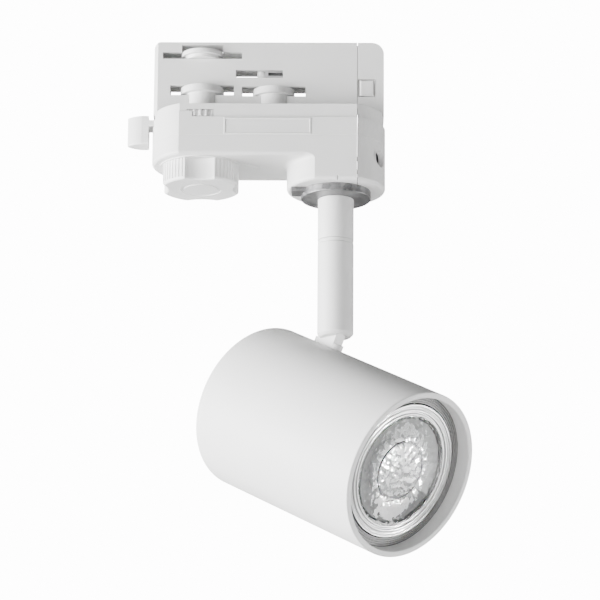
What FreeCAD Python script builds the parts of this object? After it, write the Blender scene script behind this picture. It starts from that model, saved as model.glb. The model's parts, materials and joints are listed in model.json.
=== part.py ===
import FreeCAD, Part
import math
import os
import Sketcher
from FreeCAD import Placement, Rotation, Vector

# Three-circuit track spotlight: track adapter, swivelling stem and cylindrical lamp head.
# Millimetres. The origin is the centre of the adapter's flange face that meets the track's
# underside. +Z points up into the track and +X along it, from the selector knob to the stem.

doc = FreeCAD.newDocument("TrackSpotlight")
sheet = doc.addObject("Spreadsheet::Sheet", "Sizes")

drivingSizes = [
    # adapter housing, all layers
    ("axisSpacing", 50.4, "knob axis to stem axis"),
    ("housingWidth", 33.2, "width across the flat sides"),
    ("endBulge", 1.76, "how much larger the round ends' radius is than half the width"),
    ("flangeSetback", 0.6, "how far the flange layer stands back from the layer below"),
    ("flangeDepth", 5.2, "flange layer, from the track face down"),
    ("plateThickness", 2.3, "solid plate above the lever ring"),
    ("middleDepth", 7.2, "middle housing layer"),
    ("fairingHeight", 2.1, "rise of the middle layer beside the lever ring"),
    ("coverDepth", 7.6, "bottom cover layer"),
    ("bossDepth", 9.5, "stem boss below the bottom cover"),
    ("bossFloor", 2.5, "floor of the boss that the nipple passes"),
    ("housingWall", 1.8, "wall of the lower housing"),
    ("capJointReach", 7.8, "stem axis to the end cap's joint plane"),
    ("jointGap", 0.25, "visible gap at the end cap's joint"),
    ("jointGroove", 0.9, "depth of that gap in the upper housing"),
    ("seamWidth", 0.2, "groove at the middle layer's lower seam"),
    ("seamDepth", 0.15, "groove at the middle layer's lower seam"),
    ("lowerEdge", 1.3, "rounded lower edges of the cover and boss"),
    ("labelFrame", 0.2, "height of the bare label frame on the side"),
    # upper housing, inside the track
    ("upperHeight", 28.4, "track face to the top of the upper housing"),
    ("upperThickness", 8.0, "both halves together"),
    ("upperWall", 1.5, "wall of the upper housing"),
    ("upperLeftReach", 18.1, "knob axis to the left end"),
    ("upperRightReach", 17.9, "stem axis to the right end"),
    ("upperCorner", 2.5, "top left corner radius"),
    ("capCorner", 4.6, "top right corner radius"),
    ("endBevel", 1.4, "bevel up the left end"),
    ("seatDepth", 0.6, "how far the upper housing is let into the flange"),
    ("bridge", 0.5, "strip of the flange's face that runs past the right end of the upper housing"),
    ("bridgeRoom", 2.1, "height left free over that strip"),
    ("ribHeight", 12.0, "track face to the bearing rib"),
    ("ribThickness", 1.2, "bearing rib"),
    # lever, cams and link
    ("rotorOffset", 26.9, "knob axis to the right cam axis"),
    ("ringRadius", 16.6, "lever ring"),
    ("ringClearance", 0.15, "round the lever ring and the crank"),
    ("ringGap", 0.3, "above and below the lever ring"),
    ("armWidth", 8.0, "lever arm"),
    ("tabInner", 19.8, "knob axis to the tab's inner face"),
    ("tabOuter", 27.7, "knob axis to the tab's tip"),
    ("tabTop", 0.95, "track face to the tab's top"),
    ("tabEdge", 0.6, "rounded lower edge of the tab"),
    ("tabBottom", 12.0, "track face to the tab's lower end"),
    ("neckRadius", 6.17, "cam necks"),
    ("leftCamRadius", 8.2, "left locking cam"),
    ("leftCamLow", 8.2, "left cam's lower face"),
    ("rightCamRadius", 7.85, "right locking cam"),
    ("rightCamLow", 7.5, "right cam's lower face"),
    ("camThickness", 2.6, "both locking cams"),
    ("crankRadius", 9.0, "crank disc of the right cam"),
    ("crankThrow", 7.0, "axis to crank pin"),
    ("crankPinRadius", 1.2, "crank pins"),
    ("crankPinLength", 2.3, "crank pins below their discs"),
    ("linkThickness", 1.5, "link bar"),
    ("linkEnd", 2.2, "link bar's end radius"),
    # selector
    ("knobRadius", 15.0, "over the lobes"),
    ("knobTop", 20.4, "track face to the knob's top"),
    ("knobHeight", 8.3, "knob"),
    ("knobFluteDepth", 12.6, "axis to the bottom of a flute"),
    ("knobFluteRadius", 11.9, "curve of a flute"),
    ("knobEdge", 0.9, "rounded lower edge"),
    ("serration", 0.32, "radius of a serration groove"),
    ("hubRadius", 5.5, "knob hub in the bottom cover"),
    ("hubLength", 11.4, "knob hub above the knob"),
    ("shaftRadius", 2.0, "selector shaft"),
    ("carrierNeck", 6.6, "neck of the contact carrier"),
    ("carrierRadius", 8.0, "disc of the contact carrier"),
    ("carrierLow", 21.95, "track face to the carrier"),
    ("carrierNeckHeight", 1.25, "neck of the contact carrier"),
    ("carrierDisc", 1.7, "disc of the contact carrier"),
    ("bladeThickness", 0.9, "phase contact blade"),
    # slots in the upper housing
    ("wideSlotHalf", 14.9, "half length of the top slot"),
    ("wideSlotLow", 21.8, "top slot, lower edge"),
    ("wideSlotHigh", 24.4, "top slot, upper edge"),
    ("crownSlotHalf", 7.75, "half length of the crown slot"),
    ("crownSlotHigh", 27.2, "crown slot, upper edge"),
    ("crownBridgeHigh", 25.85, "bridge between the crown slots, upper edge"),
    ("middleSlotLeft", 14.25, "right cam axis to the middle slot's left end"),
    ("middleSlotRight", 3.45, "right cam axis to the middle slot's right end"),
    ("middleSlotLow", 14.4, "middle slot, lower edge"),
    ("middleSlotHigh", 17.4, "middle slot, upper edge"),
    ("camSlotHalf", 11.95, "half length of a cam slot"),
    ("camSlotHeight", 3.8, "cam slots"),
    # latch button in the end cap
    ("latchLow", 6.8, "window's lower edge"),
    ("latchWindow", 7.1, "window, square"),
    ("latchLip", 1.2, "front wall at the window"),
    ("latchTravel", 1.6, "how far the button presses in"),
    ("latchBase", 1.3, "base plate of the button"),
    # running and fixed clearances
    ("runClearance", 0.05, "radial, turning fits"),
    ("fixClearance", 0.02, "radial, screwed and pushed fits"),
    # screws
    ("screwInset", 3.6, "flat side to a housing screw's axis"),
    ("screwNearRotor", 8.2, "right cam axis to the left pair of housing screws"),
    ("screwNearStem", 3.2, "stem axis to the right pair of housing screws"),
    ("screwRadius", 1.5, "housing screws"),
    ("screwHeadRadius", 2.7, "housing screw heads"),
    ("screwHeadHeight", 1.6, "housing screw heads"),
    # stem
    ("discRadius", 13.0, "steel mounting disc"),
    ("discThickness", 3.0, "steel mounting disc"),
    ("stemRadius", 6.7, "stem"),
    ("stemBore", 5.05, "inside the stem"),
    ("upperStemLength", 15.95, "mounting disc to the swivel ring"),
    ("ringHeight", 1.35, "swivel ring"),
    ("ringSpace", 0.1, "gap above and below the swivel ring"),
    ("swivelFloor", 3.95, "floor of the upper stem that carries the swivel"),
    ("lowerStemLength", 35.4, "swivel ring to the stem's lower end"),
    ("stemEdge", 1.1, "rounded lower edge of the stem"),
    ("bushRadius", 3.95, "swivel bush"),
    ("bushHead", 4.85, "swivel bush head"),
    ("bushHeadHeight", 2.4, "swivel bush head"),
    ("bushBore", 2.4, "wire way through the bush"),
    ("bushGrip", 6.0, "length of bush screwed into the lower stem"),
    ("nippleRadius", 5.0, "hollow nipple"),
    ("nippleBore", 3.0, "wire way through the nipple"),
    ("nippleAbove", 5.5, "nipple above the mounting disc"),
    ("nippleBelow", 8.0, "nipple below the mounting disc"),
    ("nutFlats", 14.0, "lock nut across flats"),
    ("nutHeight", 3.0, "lock nut"),
    ("washerRadius", 8.5, "lock washer"),
    ("washerThickness", 0.5, "lock washer"),
    # knuckle
    ("pivotHeight", 4.3, "stem's lower end up to the tilt pin"),
    ("slotWidth", 5.4, "slot in the stem"),
    ("slotRise", 7.7, "slot above the tilt pin"),
    ("pinRadius", 1.95, "tilt pin"),
    ("pinLength", 11.2, "tilt pin"),
    ("tongueWidth", 8.5, "bracket tongue, along the head"),
    ("tongueThickness", 5.0, "bracket tongue"),
    ("tongueLength", 8.0, "tilt pin to the head's surface"),
    ("footThickness", 2.0, "bracket foot"),
    ("footLength", 13.2, "bracket foot, along the head"),
    ("studRadius", 3.0, "hollow stud through the head's wall"),
    ("studBore", 1.6, "wire way through the stud"),
    ("studLength", 6.6, "stud below the foot"),
    ("studNutFlats", 9.0, "nut on the stud, across flats"),
    ("studNutHeight", 2.5, "nut on the stud"),
    # head
    ("headRadius", 31.0, "head"),
    ("headWall", 2.25, "head's wall"),
    ("headRearWall", 2.5, "head's rear wall"),
    ("headFront", 59.9, "tilt plane to the front rim"),
    ("headRear", 23.1, "tilt plane to the rear face"),
    ("headEdge", 1.0, "rounded rear edge"),
    ("panRest", 41.2, "degrees the head points to the front of +X"),
    ("tiltRest", 26.6, "degrees the head points below level"),
    # lampholder and its bracket
    ("stripThickness", 1.0, "holder bracket"),
    ("stripHalfWidth", 4.5, "holder bracket under the nut"),
    ("holderRadius", 14.0, "lampholder"),
    ("holderRear", 13.0, "tilt plane back to the lampholder's rear face"),
    ("holderScrewSpread", 7.0, "axis to a lampholder screw"),
    ("holderScrewRadius", 1.5, "lampholder screws"),
    ("baffleRecess", 5.4, "front rim back to the baffle ring"),
    ("baffleDepth", 2.2, "baffle ring"),
    ("baffleClearance", 0.4, "baffle ring round the lamp"),
    # lamp, standard 50 mm reflector size with a twist base
    ("lampRecess", 4.85, "front rim back to the lamp's face"),
    ("lampRadius", 25.0, "lamp"),
    ("lampLength", 46.5, "lamp without its pins"),
    ("lampRimWidth", 4.4, "rim round the lens"),
    ("lampRimDepth", 4.5, "rim along the lamp"),
    ("lampBaseRadius", 11.5, "lamp base"),
    ("lampBaseLength", 15.5, "lamp base"),
    ("lampWall", 1.2, "lamp shell"),
    ("lensThickness", 1.2, "lamp lens"),
    ("opticRadius", 10.4, "central optic"),
    ("pinCircle", 5.0, "lamp axis to a pin"),
    ("pinNeck", 1.5, "pin neck radius"),
    ("pinHead", 2.5, "pin head radius"),
    ("pinNeckLength", 4.0, "pin neck"),
    ("pinHeadLength", 3.0, "pin head"),
    ("twistAngle", 25.0, "degrees the lamp turns to come out"),
]


class Size:
    # A number that carries the sheet formula it comes from.
    def __init__(self, value, formula=None):
        self.value = float(value)
        self.formula = repr(float(value)) if formula is None else formula

    def combine(self, other, sign, result):
        return Size(result, "({} {} {})".format(self.formula, sign, sized(other).formula))

    def __add__(self, other):
        return self.combine(other, "+", self.value + sized(other).value)

    def __radd__(self, other):
        return sized(other) + self

    def __sub__(self, other):
        return self.combine(other, "-", self.value - sized(other).value)

    def __rsub__(self, other):
        return sized(other) - self

    def __mul__(self, other):
        return self.combine(other, "*", self.value * sized(other).value)

    __rmul__ = __mul__

    def __truediv__(self, other):
        return self.combine(other, "/", self.value / sized(other).value)

    def __neg__(self):
        return Size(-self.value, "(0 - {})".format(self.formula))


def sized(number):
    return number if isinstance(number, Size) else Size(number)


def root(size):
    return Size(math.sqrt(size.value), "sqrt({})".format(size.formula))


class SizeTable:
    pass


def fillSheet():
    # Each row: alias, plain number, note.
    table = SizeTable()
    for row, (alias, number, note) in enumerate(drivingSizes, start=1):
        sheet.set("A{}".format(row), alias)
        sheet.set("B{}".format(row), str(number))
        sheet.set("C{}".format(row), note)
        sheet.setAlias("B{}".format(row), alias)
    doc.recompute()
    for alias, number, note in drivingSizes:
        setattr(table, alias, Size(sheet.get(alias), "Sizes." + alias))
    return table


S = fillSheet()
parts = {}

# Places that several pieces share.
knobX = -S.axisSpacing / 2
stemX = S.axisSpacing / 2
rotorX = knobX + S.rotorOffset
capX = stemX + S.capJointReach
halfWidth = S.housingWidth / 2
endRadius = halfWidth + S.endBulge
flangeZ = -S.flangeDepth
middleZ = flangeZ - S.middleDepth
coverZ = middleZ - S.coverDepth
bossZ = coverZ - S.bossDepth
bossFloorZ = bossZ + S.bossFloor
plateZ = -S.plateThickness
ringLow = flangeZ + S.ringGap
ringHigh = plateZ - S.ringGap
discLow = bossZ - S.discThickness
upperStemLow = discLow - S.upperStemLength
lowerStemHigh = upperStemLow - S.ringHeight - S.ringSpace * 2
stemLow = lowerStemHigh - S.lowerStemLength
pivotZ = stemLow + S.pivotHeight
halfUpper = S.upperThickness / 2
fairingStop = Size(2.5)
screwY = halfWidth - S.screwInset
screwColumns = (rotorX - S.screwNearRotor, stemX - S.screwNearStem)
screwPlaces = [(x, y) for x in screwColumns for y in (-screwY, screwY)]


def bind(target, prop, size):
    target.setExpression(prop, sized(size).formula)


def keep(target, label):
    target.Label = label
    parts[label] = target
    return target


# ---- PartDesign helpers ----

def newBody(label, placement=None):
    body = doc.addObject("PartDesign::Body", label + "_body")
    if placement is not None:
        body.Placement = placement
    return keep(body, label)


def originItem(body, role):
    return [item for item in body.Origin.OriginFeatures if item.Role == role][0]


def newSketch(body, plane, offset=0):
    sketch = body.newObject("Sketcher::SketchObject", "Sketch")
    sketch.AttachmentSupport = [(originItem(body, plane + "_Plane"), "")]
    sketch.MapMode = "FlatFace"
    level = sized(offset)
    sketch.AttachmentOffset = Placement(Vector(0, 0, level.value), Rotation())
    sketch.setExpression("AttachmentOffset.Base.z", level.formula)
    return sketch


def hold(sketch, kind, arguments, size):
    # Adds one constraint whose value follows the sheet.
    index = sketch.addConstraint(Sketcher.Constraint(kind, *arguments, size.value))
    sketch.setExpression("Constraints[{}]".format(index), size.formula)


def holdPoint(sketch, geometry, point, x, y):
    hold(sketch, "DistanceX", (-1, 1, geometry, point), sized(x))
    hold(sketch, "DistanceY", (-1, 1, geometry, point), sized(y))


def arcBetween(start, end, radius):
    # Arc from start to end; a positive radius bulges to the right of the way from start to end.
    chord = end - start
    reach = math.sqrt(max(radius * radius - chord.Length ** 2 / 4, 0))
    side = Vector(-chord.y, chord.x, 0).normalize()
    sign = 1 if radius > 0 else -1
    centre = start + chord * 0.5 + side * (reach * sign)
    first, last = (start, end) if radius > 0 else (end, start)
    firstAngle = math.atan2(first.y - centre.y, first.x - centre.x)
    lastAngle = math.atan2(last.y - centre.y, last.x - centre.x)
    if lastAngle < firstAngle:
        lastAngle += 2 * math.pi
    return Part.ArcOfCircle(Part.Circle(centre, Vector(0, 0, 1), abs(radius)), firstAngle, lastAngle)


def outline(sketch, corners, arcs=None):
    # A closed outline. corners are (x, y); arcs[i] gives the radius of the side that leaves corner i.
    arcs = arcs or {}
    count = len(corners)
    first = sketch.GeometryCount
    points = [Vector(sized(x).value, sized(y).value, 0) for x, y in corners]
    flipped = {}
    for i in range(count):
        start = points[i]
        end = points[(i + 1) % count]
        if i in arcs:
            sketch.addGeometry(arcBetween(start, end, sized(arcs[i]).value))
            flipped[i] = sized(arcs[i]).value < 0
        else:
            sketch.addGeometry(Part.LineSegment(start, end))
            flipped[i] = False
    for i in range(count):
        following = (i + 1) % count
        endPoint = 1 if flipped[i] else 2
        startPoint = 2 if flipped[following] else 1
        sketch.addConstraint(
            Sketcher.Constraint("Coincident", first + i, endPoint, first + following, startPoint))
    for i, (x, y) in enumerate(corners):
        holdPoint(sketch, first + i, 2 if flipped[i] else 1, x, y)
    for i, radius in arcs.items():
        size = sized(radius)
        chord = points[(i + 1) % count] - points[i]
        if abs(chord.Length - 2 * abs(size.value)) > 0.001:
            hold(sketch, "Radius", (first + i,), size if size.value > 0 else -size)
        elif abs(chord.x) < 0.001:
            # half circle on an upright chord: its centre lies on the chord
            hold(sketch, "DistanceX", (-1, 1, first + i, 3), sized(corners[i][0]))
        else:
            hold(sketch, "DistanceY", (-1, 1, first + i, 3), sized(corners[i][1]))


def rectangle(sketch, left, right, low, high):
    outline(sketch, [(left, low), (right, low), (right, high), (left, high)])


def circle(sketch, x, y, radius):
    radius = sized(radius)
    centre = Vector(sized(x).value, sized(y).value, 0)
    index = sketch.addGeometry(Part.Circle(centre, Vector(0, 0, 1), radius.value))
    holdPoint(sketch, index, 3, x, y)
    hold(sketch, "Radius", (index,), radius)


def pad(body, sketch, length, reverse=False, middle=False):
    feature = body.newObject("PartDesign::Pad", "Pad")
    feature.Profile = sketch
    bind(feature, "Length", length)
    feature.Reversed = reverse
    if middle:
        feature.Midplane = True
    doc.recompute()
    return feature


def pocket(body, sketch, length, reverse=False, middle=False):
    # reverse=True cuts along the sketch's normal. The cut has to take material away.
    before = body.Shape.Volume
    feature = body.newObject("PartDesign::Pocket", "Pocket")
    feature.Profile = sketch
    bind(feature, "Length", length)
    feature.Reversed = reverse
    if middle:
        feature.Midplane = True
    doc.recompute()
    if not body.Shape.Volume < before - 1e-6:
        raise RuntimeError(body.Label + ": a pocket cuts nothing")
    return feature


def revolve(body, sketch, axis):
    feature = body.newObject("PartDesign::Revolution", "Revolution")
    feature.Profile = sketch
    feature.ReferenceAxis = (originItem(body, axis + "_Axis"), [""])
    feature.Angle = 360
    doc.recompute()
    return feature


def roundEdges(body, kind, size, chosen):
    # Fillet or Chamfer on the edges of the tip that the test picks.
    tip = body.Tip
    names = ["Edge{}".format(i + 1) for i, edge in enumerate(tip.Shape.Edges) if chosen(edge)]
    if not names:
        raise RuntimeError(body.Label + ": no edge to round")
    feature = body.newObject("PartDesign::" + kind, kind)
    feature.Base = (tip, names)
    bind(feature, "Radius" if kind == "Fillet" else "Size", size)
    doc.recompute()
    return feature


# ---- Part helpers ----

def rotationTo(axis):
    return Rotation(Vector(0, 0, 1), Vector(*axis))


def rod(radius, low, high, x=0, y=0):
    # Upright cylinder between two heights.
    item = doc.addObject("Part::Cylinder", "Rod")
    bind(item, "Radius", radius)
    bind(item, "Height", sized(high) - low)
    bind(item, "Placement.Base.x", x)
    bind(item, "Placement.Base.y", y)
    bind(item, "Placement.Base.z", low)
    return item


def rodAlong(axis, radius, length, x, y, z):
    # Cylinder along "X" or "Y", starting at the point and running towards plus.
    item = doc.addObject("Part::Cylinder", "Rod")
    turned = rotationTo((1, 0, 0)) if axis == "X" else rotationTo((0, 1, 0))
    item.Placement = Placement(Vector(0, 0, 0), turned)
    bind(item, "Radius", radius)
    bind(item, "Height", length)
    bind(item, "Placement.Base.x", x)
    bind(item, "Placement.Base.y", y)
    bind(item, "Placement.Base.z", z)
    return item


def block(left, right, front, back, low, high):
    item = doc.addObject("Part::Box", "Block")
    bind(item, "Length", sized(right) - left)
    bind(item, "Width", sized(back) - front)
    bind(item, "Height", sized(high) - low)
    bind(item, "Placement.Base.x", left)
    bind(item, "Placement.Base.y", front)
    bind(item, "Placement.Base.z", low)
    return item


def join(*items):
    item = doc.addObject("Part::MultiFuse", "Joined")
    item.Shapes = list(items)
    item.Refine = True
    return item


def cut(base, *tools):
    for tool in tools:
        item = doc.addObject("Part::Cut", "Trimmed")
        item.Base = base
        item.Tool = tool
        base = item
    return base


def group(*items):
    item = doc.addObject("Part::Compound", "Group")
    item.Links = list(items)
    return item


def featureOf(label, shape, placement=None):
    item = doc.addObject("Part::Feature", label)
    item.Shape = shape
    if placement is not None:
        item.Placement = placement
    return keep(item, label)


# ---- frames of the moving groups, at rest ----

def upright(x):
    return Placement(Vector(sized(x).value, 0, 0), Rotation())


swivelPlace = Placement(Vector(stemX.value, 0, 0), Rotation(Vector(0, 0, 1), -S.panRest.value))
headTurn = Rotation(Vector(0, 0, 1), -S.panRest.value).multiply(Rotation(Vector(0, 1, 0), S.tiltRest.value))
pivotPlace = Placement(Vector(stemX.value, 0, pivotZ.value), headTurn)
# The barrel frame has its X axis along the head's axis, pointing out of the mouth.
axisDrop = S.tongueLength + S.headRadius
barrelPlace = pivotPlace.multiply(Placement(Vector(0, 0, -axisDrop.value), Rotation()))


# ---- adapter housing ----

def roundedOutline(sketch, right, inset):
    # Lower housing outline: round left end, flat sides, cut square at the right.
    radius = endRadius - inset
    side = halfWidth - inset
    left = knobX - root(radius * radius - side * side)
    outline(sketch, [(left, -side), (right, -side), (right, side), (left, side)], {3: radius})


def makeUpperHalf(label, front):
    # One half of the narrow housing that slides into the track. The halves meet at y = 0.
    body = newBody(label)
    left = knobX - S.upperLeftReach
    right = capX
    top = S.upperHeight
    corner = S.upperCorner
    profile = newSketch(body, "XZ")
    foot = -S.seatDepth
    outline(profile, [(left, foot), (right, foot), (right, top), (left + corner, top),
                      (left, top - corner)], {3: corner})
    pad(body, profile, halfUpper, reverse=not front)

    hollowDepth = halfUpper - S.upperWall
    chambers = [
        (left + S.upperWall, right - S.upperWall, foot, S.ribHeight),
        (left + S.upperWall, right - S.upperWall, S.ribHeight + S.ribThickness, top - S.upperWall),
    ]
    for chamber in chambers:
        hollow = newSketch(body, "XZ")
        rectangle(hollow, *chamber)
        pocket(body, hollow, hollowDepth, reverse=front)

    slack = S.ringClearance
    windows = [
        (knobX - S.wideSlotHalf, knobX + S.wideSlotHalf, S.wideSlotLow, S.wideSlotHigh),
        (knobX - S.crownSlotHalf, knobX + S.crownSlotHalf, S.wideSlotHigh, S.crownBridgeHigh),
        (knobX - S.crownSlotHalf, knobX + S.crownSlotHalf, S.crownBridgeHigh, S.crownSlotHigh),
        (rotorX - S.middleSlotLeft, rotorX + S.middleSlotRight, S.middleSlotLow, S.middleSlotHigh),
        (knobX - S.camSlotHalf, knobX + S.camSlotHalf, S.leftCamLow - 0.8,
         S.leftCamLow - 0.8 + S.camSlotHeight),
        (rotorX - S.camSlotHalf, rotorX + S.camSlotHalf, S.rightCamLow - 0.5,
         S.rightCamLow - 0.5 + S.camSlotHeight),
    ]
    for window in windows:
        opening = newSketch(body, "XZ")
        rectangle(opening, *window)
        pocket(body, opening, halfUpper, reverse=front)

    notch = newSketch(body, "XZ")
    rectangle(notch, right - S.bridge - 0.05, right, foot, S.bridgeRoom)
    pocket(body, notch, halfUpper, reverse=front)
    for x, camLow in ((knobX, S.leftCamLow), (rotorX, S.rightCamLow)):
        neckRoom = newSketch(body, "XY", foot)
        circle(neckRoom, x, 0, S.neckRadius + slack)
        pocket(body, neckRoom, camLow - foot, reverse=True)

    bearings = newSketch(body, "XY", S.ribHeight)
    circle(bearings, knobX, 0, S.shaftRadius + S.runClearance)
    circle(bearings, rotorX, 0, S.shaftRadius + S.runClearance)
    pocket(body, bearings, S.ribThickness, reverse=True)

    side = -1 if front else 1
    bevel = newSketch(body, "XY", -1)
    outline(bevel, [
        (left - 1, side * (halfUpper - S.endBevel - 1)),
        (left - 1, side * (halfUpper + 1)),
        (left + S.endBevel + 1, side * (halfUpper + 1)),
    ])
    pocket(body, bevel, S.upperHeight + 2, reverse=True)


def makeFlange():
    # Layer under the track with the lever ring's pocket, open over the lever's quarter turn.
    body = newBody("flange_plate")
    base = newSketch(body, "XY", flangeZ)
    roundedOutline(base, capX, S.flangeSetback)
    pad(body, base, S.flangeDepth)
    ringSpace = newSketch(body, "XY", flangeZ)
    circle(ringSpace, knobX, 0, S.ringRadius + S.ringClearance)
    circle(ringSpace, rotorX, 0, S.crankRadius + S.ringClearance)
    pocket(body, ringSpace, S.flangeDepth - S.plateThickness, reverse=True)
    sweep = newSketch(body, "XY", flangeZ)
    armSide = S.armWidth / 2 + 0.3
    rectangle(sweep, knobX - endRadius - 1, knobX + armSide, -armSide, halfWidth + 1)
    pocket(body, sweep, S.flangeDepth - S.plateThickness, reverse=True)
    wireRoom = newSketch(body, "XY", flangeZ)
    rectangle(wireRoom, rotorX + S.crankRadius + 0.2, capX - S.housingWall, -8.5, 8.5)
    pocket(body, wireRoom, S.flangeDepth - S.plateThickness, reverse=True)
    fairingRoom = newSketch(body, "XY", flangeZ)
    direction = math.radians(194)
    outer = endRadius + 1
    inner = S.ringRadius
    outline(fairingRoom, [
        (knobX + outer * math.cos(direction), outer * math.sin(direction)),
        (knobX - root(outer * outer - halfWidth * halfWidth), -halfWidth),
        (knobX - fairingStop, -halfWidth),
        (knobX - fairingStop, -root(inner * inner - fairingStop * fairingStop)),
        (knobX + inner * math.cos(direction), inner * math.sin(direction)),
    ], {0: outer, 3: -inner})
    pocket(body, fairingRoom, S.fairingHeight + 0.05, reverse=True)
    seat = newSketch(body, "XY")
    seatSide = halfUpper + S.fixClearance
    rectangle(seat, knobX - S.upperLeftReach - S.fixClearance, capX - S.bridge, -seatSide, seatSide)
    pocket(body, seat, S.seatDepth)
    bores = newSketch(body, "XY", plateZ)
    circle(bores, knobX, 0, S.neckRadius + S.runClearance)
    circle(bores, rotorX, 0, S.neckRadius + S.runClearance)
    pocket(body, bores, S.plateThickness, reverse=True)
    for x, y in screwPlaces:
        shank = newSketch(body, "XY", flangeZ)
        circle(shank, x, y, S.screwRadius + S.fixClearance)
        pocket(body, shank, S.flangeDepth, reverse=True)
        head = newSketch(body, "XY")
        circle(head, x, y, S.screwHeadRadius + 0.1)
        pocket(body, head, S.screwHeadHeight + 0.2)


def screwPosts(body, low, height):
    posts = newSketch(body, "XY", low)
    for x, y in screwPlaces:
        circle(posts, x, y, S.screwHeadRadius + 0.3)
    pad(body, posts, height)
    holes = newSketch(body, "XY", low)
    for x, y in screwPlaces:
        circle(holes, x, y, S.screwRadius + S.fixClearance)
    pocket(body, holes, height, reverse=True)


def makeMiddleHousing():
    body = newBody("middle_housing")
    base = newSketch(body, "XY", middleZ)
    roundedOutline(base, capX, 0)
    pad(body, base, S.middleDepth)
    room = newSketch(body, "XY", middleZ)
    roundedOutline(room, capX - S.housingWall, S.housingWall)
    pocket(body, room, S.middleDepth, reverse=True)
    screwPosts(body, middleZ, S.middleDepth)
    # the wall rises beside the lever ring on the near side, bored out to clear the ring
    fairing = newSketch(body, "XY", flangeZ)
    outer = endRadius
    inner = S.ringRadius + S.ringClearance + 0.1
    within = inner * 0.8
    direction = math.radians(195)
    outline(fairing, [
        (knobX + outer * math.cos(direction), outer * math.sin(direction)),
        (knobX - root(outer * outer - halfWidth * halfWidth), -halfWidth),
        (knobX - fairingStop, -halfWidth),
        (knobX - fairingStop, -within),
        (knobX + within * math.cos(direction), within * math.sin(direction)),
    ], {0: outer})
    pad(body, fairing, S.fairingHeight)
    clear = newSketch(body, "XY", flangeZ)
    circle(clear, knobX, 0, inner)
    pocket(body, clear, S.fairingHeight, reverse=True)
    # a bare raised frame where a label would sit
    frameLine = 0.5
    frameLeft, frameRight = -16.3, 15.9
    frameLow, frameHigh = middleZ + 0.4, flangeZ - 0.5
    panel = newSketch(body, "XZ", halfWidth)
    rectangle(panel, frameLeft, frameRight, frameLow, frameHigh)
    rectangle(panel, frameLeft + frameLine, frameRight - frameLine,
              frameLow + frameLine, frameHigh - frameLine)
    pad(body, panel, S.labelFrame)


def outerLowEdge(edge, level):
    # Lower outside edge of the round ends and flat sides, but not along the end cap's joint.
    box = edge.BoundBox
    flat = abs(box.ZMin - level.value) < 0.001 and abs(box.ZMax - level.value) < 0.001
    onJoint = box.XLength < 0.01 and abs(box.XMin - capX.value) < 1
    return flat and not onJoint


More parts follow.
